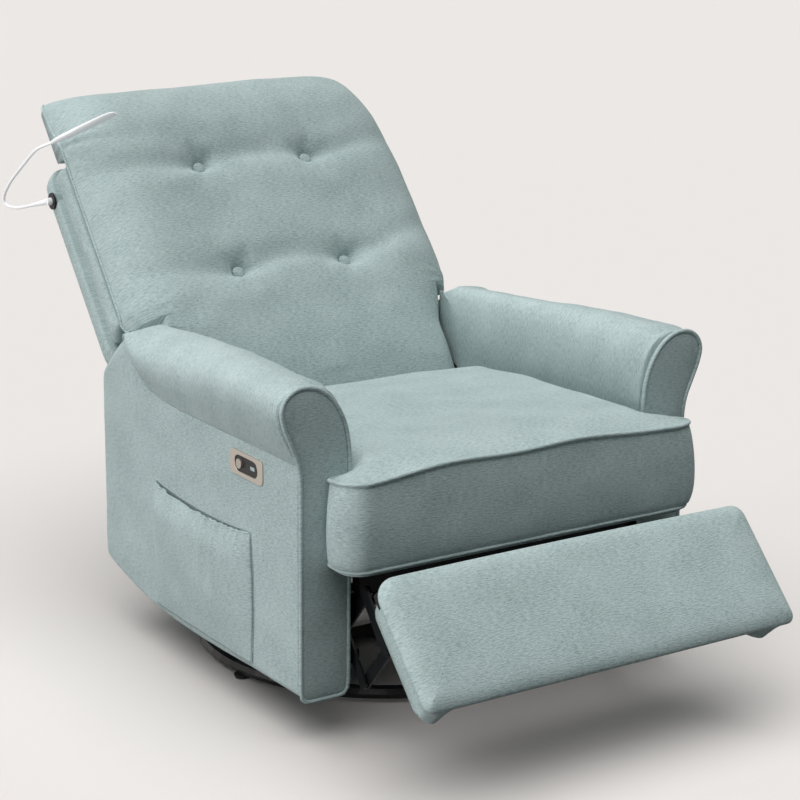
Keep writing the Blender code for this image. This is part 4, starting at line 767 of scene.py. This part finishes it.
for keep, out in FRONT_STATIONS:
    ring = []
    for x, z in panel_spine + (keyhole - panel_spine) * keep:
        pull = 0.0010 * (1 - keep) * soft_wave(x, 0, z, 0.07, 4.0) if out > 0.95 else 0.0
        ring.append((x, FRONT_PANEL_Y - FRONT_PANEL_THICK * out - pull, z))
    front_rings.append(ring)


def front_weave(i, j):
    x, y, z = front_rings[i][j % len(keyhole)]
    return x, z + y


def on_side(rings, sign):
    return [[(sign * x, y, z) for x, y, z in ring] for ring in rings]


for side, sign in (("left", 1), ("right", -1)):
    body = cover(f"arm_panel_cover_{side}", on_side(panel_rings, sign), panel_weave, (0, 2))
    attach(body, "chassis")
    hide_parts(f"arm_body_{side}")
    roll = cover(f"arm_roll_cover_{side}", on_side(roll_rings, sign), roll_weave)
    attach(roll, "chassis")
    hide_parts(f"arm_roll_{side}")
    front = cover(f"arm_front_cover_{side}", on_side(front_rings, sign), front_weave)
    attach(front, "chassis")
    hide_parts(f"arm_front_{side}")
    route = [
        (sign * (x + a * 0.0016), FRONT_WELT_Y, z + b * 0.0016)
        for (x, z), (a, b) in zip(keyhole, outward(keyhole))
    ]
    welt(f"arm_front_welt_{side}", route, "chassis", FRONT_WELT_R)
    # Below the seat the arms' inner faces take the black cambric as painted shade for the dark gap there.
    body.data.materials.append(cambric_and_painted_shade)
    for panel_face in body.data.polygons:
        if abs(panel_face.center.x) < ARM_IN + 0.006 and panel_face.center.z < SHADE_LINING_HIGH:
            panel_face.material_index = 1

# The side pocket: one piece of the same cloth on the right arm, gathered into an elastic top
# hem and sewn to the arm down its sides and along its foot.
POCKET_REAR = 0.135
POCKET_FRONT = -0.205
POCKET_LOW = 0.093
POCKET_HIGH = 0.322
POCKET_OUT = 0.0215
POCKET_THICK = 0.0022
POCKET_HEM_R = 0.0022
POCKET_SEAM_R = 0.0016


def pocket_place(u, v):
    """u runs from the rear seam to the front one, v from the foot to the hem."""
    sag = 0.011 * math.sin(math.pi * u) ** 0.8 * v
    y = POCKET_REAR + (POCKET_FRONT - POCKET_REAR) * u
    low = max(POCKET_LOW, height_at(y, ARM_LOW_ROUTE) + 0.006)
    z = low + (POCKET_HIGH - low) * v - sag
    across = min(1.0, 7 * min(u, 1 - u)) ** 0.5
    up = math.sin(math.pi * min(1.0, v * 0.60 + 0.02)) ** 0.9
    hem = 1 - 0.45 * max(0.0, (v - 0.80) / 0.20) ** 1.5
    out = POCKET_OUT * across * up * hem
    gather = max(0.0, (v - 0.30) / 0.70) ** 0.9
    wander = 6.5 * u + 0.45 * math.sin(6 * u + 1.0) + 0.50 * soft_wave(0, u, v * 0.6, 0.35, 6.0)
    flute = 0.5 + 0.5 * math.sin(2 * math.pi * wander)
    ruffle = 0.5 + 0.5 * math.sin(2 * math.pi * (2.1 * wander + 0.2))
    near_hem = max(0.0, (v - 0.86) / 0.14)
    strong = 0.55 + 0.45 * soft_wave(0, 2 * u, 0, 0.30, 3.0)
    out -= (0.0085 * strong * gather * (1 - flute**1.2) * (1 - 0.5 * near_hem)) * across
    out -= 0.0040 * near_hem * (1 - ruffle) * across
    out += 0.0014 * soft_wave(0, y, z, 0.05, 7.0) * across
    y -= 0.008 * math.sin(math.pi * v) * u**6
    return -(0.3898 + POCKET_THICK / 2 + max(0.0004, out)), y, z


rows, columns = 56, 190
points = [pocket_place(j / (columns - 1), i / (rows - 1)) for i in range(rows) for j in range(columns)]
faces = [
    (i * columns + j, i * columns + j + 1, (i + 1) * columns + j + 1, (i + 1) * columns + j)
    for i in range(rows - 1) for j in range(columns - 1)
]
mesh = bpy.data.meshes.new("side_pocket_cloth")
mesh.from_pydata(points, [], faces)
layer = mesh.uv_layers.new(name="weave")
for loop in mesh.loops:
    row, column = divmod(loop.vertex_index, columns)
    layer.data[loop.index].uv = (column * 0.40 / columns, row * 0.225 / rows)
mesh.materials.append(chenille)
pocket = bpy.data.objects.new("side_pocket_cloth", mesh)
bpy.context.collection.objects.link(pocket)
pick(pocket)
wall = pocket.modifiers.new("wall", "SOLIDIFY")
wall.thickness = POCKET_THICK
wall.offset = 0.0
bpy.ops.object.modifier_apply(modifier="wall")
bpy.ops.object.shade_smooth()
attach(pocket, "chassis")
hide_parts("side_pocket")

hem_route = []
for step in range(200):
    u = 0.004 + 0.992 * step / 199
    x, y, z = pocket_place(u, 1.0)
    hem_route.append((x, y, z - 0.001))
pocket_trim = [welt("side_pocket_hem", hem_route, "chassis", POCKET_HEM_R, closed=False)]
for edge, u in (("rear", 0.0), ("front", 1.0)):
    seam = [pocket_place(u, v) for v in np.linspace(0.0, 1.0, 40)]
    seam = [(x + 0.0014, y, z) for x, y, z in seam]
    pocket_trim.append(welt(f"side_pocket_seam_{edge}", seam, "chassis", POCKET_SEAM_R, closed=False))

# The control plate: a stamped trim plate in taupe metallic with a dark recessed insert, a
# round push button and a charging port, screwed to the arm's outer panel.
trim_taupe = hard_material("taupe_trim", (0.52, 0.46, 0.40, 1), (0.48, 0.44, 0.40, 1), 0.3, 0.30, 0.42, 0.45)
insert_black = hard_material("insert_black", (0.02, 0.02, 0.02, 1), (0.08, 0.08, 0.08, 1), 0.2, 0.3, 0.45)
button_grey = hard_material("button_grey", (0.44, 0.39, 0.34, 1), (0.40, 0.37, 0.34, 1), 0.2, 0.28, 0.4, 0.45)
dress(trim_taupe, "control_plate")
dress(insert_black, "control_insert", "usb_socket")
dress(button_grey, "control_button")

# The footrest: a plywood board with a padded front in the same chenille, pulled round its
# edges and stapled behind. It rides out on the lazy tongs.
REST_TURN = math.radians(43.4)
REST_Y, REST_Z = -0.522751, 0.2564


def turned(x, depth, height, y, z, turn):
    """A place given by its depth behind a leaning plane and its height along it."""
    return (
        x,
        y + depth * math.cos(turn) + height * math.sin(turn),
        z - depth * math.sin(turn) + height * math.cos(turn),
    )


def on_footrest(x, depth, height):
    return turned(x, depth, height, REST_Y, REST_Z, REST_TURN)


REST_HALF = 0.368
REST_LEFT = REST_HALF + 0.0095
REST_EDGE = 0.0595
rest_line = rounded_outline(
    [
        (-REST_HALF, -0.177, 0.016), (REST_LEFT, -0.177, 0.018),
        (REST_LEFT, 0.0485, 0.024), (-REST_HALF, 0.0485, 0.042),
    ],
    0.0068,
)
rest_line[:, 1] += 0.002 * np.clip(1 - (rest_line[:, 0] / 0.34) ** 2, 0, 1) * (rest_line[:, 1] > 0.03)
rest_out = outward(rest_line)
rest_spine = np.array([(max(-0.27, min(0.27, x)), -0.0635) for x, height in rest_line])


def rest_ear(x, height):
    """1 at the two lower corners, where the folded cloth hangs a little loose behind."""
    return math.exp(-(((abs(x) - 0.330) / 0.026) ** 2)) * share((-0.12 - height) / 0.04)


rest_rings, rest_flat = [], []
REST_BACK_KEEPS = (0.03, 0.5, 0.88)
for keep in REST_BACK_KEEPS:
    rest_flat.append(rest_spine + (rest_line - rest_spine) * keep)
    rest_rings.append([on_footrest(x, -0.0158, h) for x, h in rest_flat[-1]])
REST_TUCKS = (0.0215, 0.0210, 0.0208, 0.0205, 0.0178, 0.0135, 0.0088, 0.0042, 0.0008)
rest_depths = (-0.0160, -0.0185, -0.0230, -0.0290, -0.0350, -0.0415, -0.0480, -0.0540, -0.0590)
for inward, depth in zip(REST_TUCKS, rest_depths):
    flat, ring = [], []
    for (x, h), (a, b) in zip(rest_line, rest_out):
        ear = rest_ear(x, h)
        fold = inward * (1 - 1.05 * ear)
        flat.append((x - a * fold, h - b * fold))
        ring.append(on_footrest(flat[-1][0], depth + 0.0035 * ear * math.sin(90 * x), flat[-1][1]))
    rest_flat.append(flat)
    rest_rings.append(ring)
for inward in (
    0.0, 0.0012, 0.003, 0.0055, 0.009, 0.013, 0.018, 0.024, 0.032, 0.042, 0.054, 0.068, 0.084, 0.100,
):
    if inward < 0.02:
        flat = rest_line - rest_out * inward
    else:
        flat = rest_spine + (rest_line - rest_out * 0.018 - rest_spine) * (1 - (inward - 0.018) / 0.0955)
    depths = depth_inside(flat, rest_line)
    ring = []
    for (x, h), depth in zip(flat, depths):
        edge = min(1.0, depth / 0.024)
        full = math.sqrt(max(0.0, 1 - (1 - edge) ** 2))
        crown = 1 - (1 - min(1.0, depth / 0.080)) ** 2.6
        out = 0.0100 * full + 0.0080 * crown + 0.0022 * edge * soft_wave(x, h, 0, 0.13, 8.0)
        ring.append(on_footrest(x, -REST_EDGE - out, h))
    rest_flat.append(flat)
    rest_rings.append(ring)


def rest_weave(i, j):
    """Flat across the front; down the sides the cloth runs straight on from the front's edge."""
    x, h = rest_flat[i][j % len(rest_line)]
    row = i - len(REST_BACK_KEEPS)
    if 0 <= row < len(rest_depths):
        a, b = rest_out[j % len(rest_line)]
        side = 0.0605 + rest_depths[row]
        x, h = x + a * side, h + b * side
    return x, h


footrest = cover("footrest_cover", rest_rings, rest_weave)
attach(footrest, "footrest")
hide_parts("footrest_pad")
footrest.data.materials.append(cambric_and_painted_shade)
for rest_face in footrest.data.polygons:
    if max(rest_face.vertices) < len(REST_BACK_KEEPS) * len(rest_line):
        rest_face.material_index = 1

# The back: a plywood frame inside a T-shaped padded shell, and in front of it the pillow,
# sewn into its shell and drawn in at four covered buttons. It hinges at the seat's rear.
BACK_TURN = math.radians(40.0)
BACK_Y, BACK_Z = 0.2135, 0.410
SHELL_NECK = 0.2922
SHELL_HALF = 0.368
SHELL_WING = 0.187
SHELL_TOP = 0.562
SHELL_FOOT = -0.050


def on_back(x, depth, height):
    """depth is behind the hinge plane, height is along the back from the hinge."""
    return turned(x, depth, height, BACK_Y, BACK_Z, BACK_TURN)


shell_line = rounded_outline(
    [
        (-SHELL_NECK, SHELL_FOOT, 0.020), (SHELL_NECK, SHELL_FOOT, 0.020),
        (SHELL_NECK, SHELL_WING, 0.004), (SHELL_HALF, SHELL_WING, 0.018),
        (SHELL_HALF, SHELL_TOP, 0.036), (-SHELL_HALF, SHELL_TOP, 0.036),
        (-SHELL_HALF, SHELL_WING, 0.018), (-SHELL_NECK, SHELL_WING, 0.004),
    ],
    0.008,
)
shell_out = outward(shell_line)
shell_spine = np.array([(x * 0.60, 0.33) for x, height in shell_line])
shell_reach = reach_round(shell_line)


def shell_slope(x, height, depth):
    """The wings' lower edge runs down towards the rear, behind the arms."""
    near = min(height / SHELL_WING, (0.225 - height) / 0.038, (abs(x) - 0.14) / 0.14, 1.0)
    return -max(0.0, near) * (0.050 * share((depth - 0.0121) / 0.075) + 0.008)


def shell_ring(inward, depth, wrinkle=0.0):
    flat, ring = [], []
    for (x, h), (a, b) in zip(shell_line, shell_out):
        fold = inward
        if h < 0.180:
            fold = min(inward, 0.002)
        elif h > 0.535 and depth < 0.0475:
            fold = max(inward, 0.0165 if depth > -0.001 else inward)
        if wrinkle:
            broad = soft_wave(0.3, h * 0.7, depth * 2.2, 0.060, 14.0)
            fold -= wrinkle * (broad + 0.5 * soft_wave(0.9, h, depth * 3, 0.030, 15.0))
        x, h = x - a * fold, h - b * fold
        flat.append((x, h))
        ring.append(on_back(x, depth, h + shell_slope(x, h, depth)))
    shell_flat.append(flat)
    shell_rings.append(ring)


def shell_face(keep, depth):
    flat = shell_spine + (shell_line - shell_out * 0.010 - shell_spine) * keep
    shell_flat.append(flat)
    shell_rings.append([
        on_back(x, depth + 0.0012 * soft_wave(x, h, 0, 0.16, 11.0), h + shell_slope(x, h, depth))
        for x, h in flat
    ])


shell_rings, shell_flat = [], []
for keep in (0.03, 0.1, 0.6, 0.94):
    shell_flat.append(shell_spine + (shell_line - shell_out * 0.02 - shell_spine) * keep)
    shell_rings.append([on_back(x, -0.0018, h) for x, h in shell_flat[-1]])
shell_ring(0.0190, -0.0016)
shell_ring(0.0140, 0.0002)
SHELL_STATIONS = (
    (0.003, 0.0112, 0.0010), (0.008, 0.0088, 0.0024), (0.014, 0.0074, 0.0034), (0.020, 0.0070, 0.0040),
    (0.026, 0.0070, 0.0040), (0.032, 0.0076, 0.0034), (0.038, 0.0092, 0.0024), (0.0425, 0.0120, 0.0010),
    (0.0462, 0.0172, 0.0), (0.0480, 0.0170, 0.0), (0.0490, 0.0060, 0.0), (0.0505, 0.0022, 0.0),
    (0.0535, 0.0004, 0.0), (0.060, 0.0, 0.0), (0.070, 0.0, 0.0), (0.0765, 0.0008, 0.0),
)
for depth, inward, wrinkle in SHELL_STATIONS:
    shell_ring(inward, depth, wrinkle)
for inward, depth in ((0.0025, 0.0810), (0.0055, 0.0845), (0.0095, 0.0864)):
    shell_ring(inward, depth)
for keep, depth in (
    (0.985, 0.0870), (0.93, 0.0878), (0.8, 0.0888), (0.6, 0.0900), (0.35, 0.0908), (0.12, 0.0912),
    (0.03, 0.0914),
):
    shell_face(keep, depth)
shell_depths = (
    0, 0, 0, 0, 0, 0.0005, 0.004, 0.009, 0.015, 0.021, 0.027, 0.033, 0.039, 0.0435, 0.0465, 0.0480,
    0.0490, 0.0505, 0.0535, 0.060, 0.070, 0.0765, 0.081,
)


def shell_weave(i, j):
    x, h = shell_flat[i][j % len(shell_line)]
    if 4 < i < len(shell_depths):
        return shell_depths[i], shell_reach[j]
    return x, h


shell = cover("back_shell_cover", shell_rings, shell_weave)
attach(shell, "back")
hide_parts("back_shell", "back_frame")

# The back pillow is a separate fibre-filled case: a crowned front, a welted seam down each
# side and a rolled top that hangs over the shell. Two rows of buttons draw valleys across it.
PILLOW_NECK = 0.2952
PILLOW_WIDE = 0.3535
PILLOW_WING = 0.170
PILLOW_TOP = 0.687
PILLOW_FULL = 0.088
PILLOW_FOOT = 0.048
BUTTON_X = 0.117
BUTTON_HEIGHTS = (0.241, 0.472)
PILLOW_BELLY = 0.190
PILLOW_BACKSET = -0.018
PILLOW_CORE = 0.276
PILLOW_ROLL = 0.150
PILLOW_TURN_IN = 0.072
PILLOW_WELT_R = 0.0029
PILLOW_RIGHT_SIDE = (
    (0.19, 0.3550), (0.32, 0.3550), (0.44, 0.3515), (0.52, 0.3450), (0.565, 0.3380), (0.605, 0.3290),
    (0.635, 0.3200), (0.655, 0.3110), (0.672, 0.2960), (0.690, 0.2640),
)


def pillow_half(height, side):
    """Half width at the seam; the upper corner is full on one side and rounded on the lamp's far side."""
    if height < PILLOW_WING - 0.001:
        return PILLOW_NECK
    rise = min(1.0, (height - PILLOW_WING + 0.001) / 0.026)
    tuck = 0.020 * (1 - math.sqrt(rise)) ** 1.5
    if side > 0:
        return float(np.interp(height, *zip(*PILLOW_RIGHT_SIDE))) - tuck
    over = max(0.0, (height - PILLOW_TOP + 0.022) / 0.022)
    return PILLOW_WIDE - tuck - 0.018 * (1 - math.sqrt(max(0.0, 1 - over**2)))


def full_half(height, side):
    """The half width that the crown follows, which widens slowly above the neck."""
    ease = soft_step((height - 0.085) / 0.120)
    wide = PILLOW_NECK + 0.004 + (PILLOW_WIDE - PILLOW_NECK - 0.002) * ease
    return min(wide, pillow_half(height, side) + 0.002) if height > PILLOW_WING + 0.02 else wide


def edge_depth(height):
    """How far the side seam stands in front of the hinge plane."""
    top = soft_step((height - 0.560) / 0.070)
    low = share((0.150 - height) / 0.100)
    return -0.0005 - 0.0135 * top + 0.016 * low


def valley_height(x, row):
    """Height of the valley's floor at x: it arcs up between the buttons and to the right."""
    button_height = BUTTON_HEIGHTS[row]
    away = abs(x)
    if away < BUTTON_X:
        return button_height + 0.015 * (1 - (away / BUTTON_X) ** 2)
    past = (away - BUTTON_X) / (PILLOW_WIDE - BUTTON_X)
    climb = (0.075, 0.040)[row] if x > 0 else (0.018, 0.012)[row]
    return button_height + climb * past**1.1 - 0.004 * math.sin(math.pi * min(1.0, past * 2))


def pillow_face(x, height):
    """How far the pillow's front stands in front of the hinge plane."""
    half = full_half(height, x)
    u = min(1.0, abs(x) / half)
    top = share((height + (0.006 if x > 0 else 0.0) * u**5 - PILLOW_TOP + PILLOW_ROLL) / PILLOW_ROLL)
    edge = edge_depth(height)
    face = edge + (PILLOW_FULL - edge) * (1 - u**7.5) ** 0.62
    face = PILLOW_BACKSET + (face - PILLOW_BACKSET) * max(0.0, 1 - top**2.5) ** 0.5
    if height < PILLOW_BELLY:
        below = 1 - max(0.0, (height + PILLOW_FOOT) / (PILLOW_BELLY + PILLOW_FOOT))
        face *= (1 - below**2.0) ** 0.5
    soft = min(1.0, (1 - u) / 0.22) if height > 0.02 else 0.0
    fade = min(1.0, (1 - u) / 0.12) * (1 - top**2)
    for row, button_height in enumerate(BUTTON_HEIGHTS):
        rise = height - valley_height(x, row)
        width = 0.027 if rise > 0 else 0.019
        strength = 0.0058 + 0.0040 * math.exp(-(((abs(x) - BUTTON_X) / 0.07) ** 2))
        strength *= (1 + 0.35 * soft_wave(x, 0, row, 0.10, 17.0)) * (1 - 0.45 * min(1.0, abs(x) / 0.3) ** 2)
        face -= strength * fade * math.exp(-((rise / width) ** 2))
        face += 0.0028 * fade * math.exp(-(((rise + 0.052) / 0.034) ** 2))
        for button_x in (-BUTTON_X, BUTTON_X):
            across, up = x - button_x, height - button_height
            away = math.hypot(across, up)
            if away > 0.13:
                continue
            reach = 0.030 if up > 0 else 0.014
            pit = math.exp(-(math.hypot(across / 0.027, up / reach) ** 2))
            face -= 0.0120 * pit + 0.0050 * math.exp(-((away / 0.060) ** 2))
            face -= 0.0060 * math.exp(-((max(0.0, away - 0.0105) / 0.0045) ** 2))
            if away > 0.006:
                turn = math.atan2(up, across)
                ring = math.exp(-(((away - 0.030) / 0.020) ** 2))
                pull = math.cos(5 * turn + 1.3 * math.copysign(1, button_x) + 9 * button_height)
                face -= 0.0013 * ring * pull
    for side in (-1, 1):
        across, up = x - side * 0.345, height - 0.185
        away = math.hypot(across, up)
        if 0.004 < away < 0.12:
            turn = math.atan2(up, -side * across)
            pucker = math.exp(-(((away - 0.035) / 0.028) ** 2)) * (0.5 + 0.5 * math.cos(15 * turn + 1.0))
            face -= 0.0028 * pucker * (0.6 if side < 0 else 1.0)
    face += soft * 0.0042 * soft_wave(x, height, 0, 0.16, 12.0)
    face += soft * 0.0016 * soft_wave(x, height, 0, 0.055, 13.0)
    return face


def pillow_rear(height):
    over = share((height - 0.5515) / 0.007)
    return 0.0026 - 0.0300 * over


heights = [-PILLOW_FOOT * math.cos(math.radians(a)) for a in (8, 20, 32, 44, 56, 68, 80)]
heights += list(np.linspace(0.004, PILLOW_WING - 0.0025, 30))
heights += [PILLOW_WING - 0.0012, PILLOW_WING, PILLOW_WING + 0.0012, PILLOW_WING + 0.003, PILLOW_WING + 0.006]
heights += list(np.linspace(PILLOW_WING + 0.010, PILLOW_TOP - 0.076, 92))
heights += [PILLOW_TOP - PILLOW_TURN_IN * math.cos(math.radians(a)) for a in np.linspace(0, 86, 22)]
across = list(np.linspace(-PILLOW_CORE, PILLOW_CORE, 118))
outer_parts = (0.12, 0.24, 0.36, 0.48, 0.59, 0.69, 0.78, 0.855, 0.91, 0.95, 0.978, 0.993, 1.0)


def pillow_lift(x, height):
    """The rolled top stands a little higher towards the lamp's far side, as its filling lies."""
    lean = 0.004 + 0.034 * max(-0.2, x) + 0.0018 * soft_wave(x, 0, 0, 0.09, 19.0)
    return lean * max(0.0, (height - 0.48) / 0.20) ** 1.5


pillow_rings, pillow_flat = [], []
for height in heights:
    half, half_left = pillow_half(height, 1), pillow_half(height, -1)
    rear = pillow_rear(height)
    closing = max(0.0, (height - PILLOW_TOP + 0.022) / 0.022)
    rear += 0.008 * closing**2
    core = min(1.0, (half - 0.012) / PILLOW_CORE)
    front = [-PILLOW_CORE - (half_left - PILLOW_CORE) * part for part in reversed(outer_parts)]
    front += [x * core if x > 0 else x for x in across]
    front += [PILLOW_CORE * core + (half - PILLOW_CORE * core) * part for part in outer_parts]
    behind = [half - 0.0015, half - 0.006, min(0.250, half - 0.012), 0.17, 0.0, -0.17, -0.270]
    behind += [-half_left + 0.006, -half_left + 0.0015]
    ring, flat = [], []
    for x in front:
        face = max(pillow_face(x, height), rear + 0.0022)
        ring.append(on_back(x, -face, height + pillow_lift(x, height)))
        flat.append((x, height))
    for x in behind:
        ring.append(on_back(x, -rear, height + pillow_lift(x, height)))
        flat.append((x, height))
    pillow_rings.append(ring)
    pillow_flat.append(flat)


pillow_places = np.array(pillow_rings)
pillow_steps = np.linalg.norm(np.diff(pillow_places[:, 8:-18, 1:], axis=0), axis=2).mean(axis=1)
pillow_reach = np.concatenate(([0], np.cumsum(pillow_steps)))


def pillow_weave(i, j):
    return pillow_flat[i][j % len(pillow_flat[0])][0], pillow_reach[i]


pillow = cover("back_pillow_cover", pillow_rings, pillow_weave, (0, 1))
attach(pillow, "back")
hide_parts("back_pillow")

for side, sign in (("left", 1), ("right", -1)):
    route = []
    for height in heights:
        if height > PILLOW_WING + 0.002:
            x = sign * pillow_half(height, sign)
            face = max(pillow_face(x, height), pillow_rear(height) + 0.0022) - 0.0008
            route.append(on_back(x + sign * 0.0006, -face, height + pillow_lift(x, height)))
    welt(f"pillow_seam_{side}", route, "back", PILLOW_WELT_R, closed=False)

# The pillow's four buttons: domed metal shells covered with the same cloth, each pulled in
# on a cord that goes through the pillow and is tied off behind.
BUTTON_SIDES = 28
for n, (height, x) in enumerate((h, s * BUTTON_X) for h in BUTTON_HEIGHTS for s in (-1, 1)):
    base = -pillow_face(x, height)
    rings = []
    for radius, out in ((0.004, 0.0), (0.0095, 0.0), (0.0116, -0.0030), (0.0119, -0.0060), (0.0108, -0.0082),
                        (0.0082, -0.0096), (0.0042, -0.0103)):
        rings.append([
            on_back(x + radius * math.cos(a), base - 0.0002 + out, height + radius * math.sin(a))
            for a in np.linspace(0, 2 * math.pi, BUTTON_SIDES, endpoint=False)
        ])

    def button_weave(i, j, rings=rings):
        x, y, z = rings[i][j % BUTTON_SIDES]
        return x, z

    button = cover(f"covered_button_{n + 1}", rings, button_weave)
    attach(button, "back")
    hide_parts(f"tuft_button_{n + 1}")

# The reading light: a moulded white head with its lens, on a white coated bendable neck that
# plugs into a black grommet in the back's edge. The white head and neck carry a faint emission,
# a painted glow that lightens their shaded sides.
lamp_white_painted_glow = hard_material("lamp_white_painted_glow", (0.93, 0.92, 0.93, 1), (0.88, 0.87, 0.86, 1), 0.2, 0.22, 0.36)
grommet_black = hard_material("grommet_black", (0.014, 0.014, 0.015, 1), (0.07, 0.07, 0.07, 1), 0.2, 0.3, 0.5)
# Painted glow: a faint emission on the white head and neck to lighten their shade.
lamp_glow_shader = lamp_white_painted_glow.node_tree.nodes["Principled BSDF"]
lamp_glow_shader.inputs["Emission Color"].default_value = (0.95, 0.94, 0.96, 1)
lamp_glow_shader.inputs["Emission Strength"].default_value = 0.14
dress(lamp_white_painted_glow, "lamp_head", "lamp_neck")
dress(grommet_black, "lamp_socket")

# The studio: a plain pale floor and a soft light from above and from the chair's right. The
# floor and the air look pale, and shed less on the chair than their looks would.
FLOOR_COLOUR = (0.84, 0.786, 0.764, 1)
FLOOR_SHED = (0.12, 0.12, 0.12, 1)
SKY_COLOUR = (0.84, 0.805, 0.78, 1)
SKY_SHED = (0.040, 0.070, 0.068, 1)


def seen_rays(tree):
    """1 for what the camera sees, straight or mirrored or through something clear."""
    rays = tree.nodes.new("ShaderNodeLightPath")
    seen = number(tree, "MAXIMUM", rays.outputs["Is Camera Ray"], rays.outputs["Is Glossy Ray"])
    return number(tree, "MAXIMUM", seen, rays.outputs["Is Transmission Ray"])


bpy.ops.object.select_all(action="DESELECT")
bpy.ops.mesh.primitive_plane_add(size=60, location=(0, 0, 0))
floor = bpy.context.object
floor.name = "studio_floor"
floor_paint = bpy.data.materials.new("studio_floor")
floor_paint.use_nodes = True
floor_tree = floor_paint.node_tree
floor_shader = floor_tree.nodes["Principled BSDF"]
floor_shader.inputs["Roughness"].default_value = 0.9
floor_shader.inputs["Specular IOR Level"].default_value = 0.1
floor_tree.links.new(
    mixed(floor_tree, seen_rays(floor_tree), FLOOR_SHED, FLOOR_COLOUR), floor_shader.inputs["Base Color"]
)
floor.data.materials.append(floor_paint)

for name, strength, width, direction in (
    ("top_light", 2.92, 80, (-0.17, -0.06, 0.97)),
    ("side_light", 2.25, 20, (-0.98, 0.05, 0.03)),
):
    light = bpy.data.lights.new(name, "SUN")
    light.energy = strength
    light.angle = math.radians(width)
    light_object = bpy.data.objects.new(name, light)
    bpy.context.collection.objects.link(light_object)
    light_object.rotation_euler = Vector(direction).to_track_quat("Z", "Y").to_euler()

world = bpy.data.worlds.new("studio")
bpy.context.scene.world = world
world.use_nodes = True
sky = world.node_tree.nodes["Background"]
sky.inputs["Strength"].default_value = 1.0
world.node_tree.links.new(
    mixed(world.node_tree, seen_rays(world.node_tree), SKY_SHED, SKY_COLOUR), sky.inputs["Color"]
)

# The camera stands where the photograph was taken: in front of the chair on its right, above
# it, with a long lens.
CAMERA_AT = Vector((-2.0294, -3.1206, 1.4402))
CAMERA_TO = Vector((0.0252, -0.01668, 0.44627))
CAMERA_ROLL = math.radians(0.6356)
lens = bpy.data.cameras.new("camera")
lens.lens = 96.42
lens.sensor_width = 36
camera = bpy.data.objects.new("camera", lens)
bpy.context.collection.objects.link(camera)
turn = (CAMERA_TO - CAMERA_AT).to_track_quat("-Z", "Y").to_matrix()
camera.matrix_world = Matrix.Translation(CAMERA_AT) @ (turn @ Matrix.Rotation(CAMERA_ROLL, 3, "Z")).to_4x4()
bpy.context.scene.camera = camera
bpy.context.scene.view_settings.view_transform = "Standard"
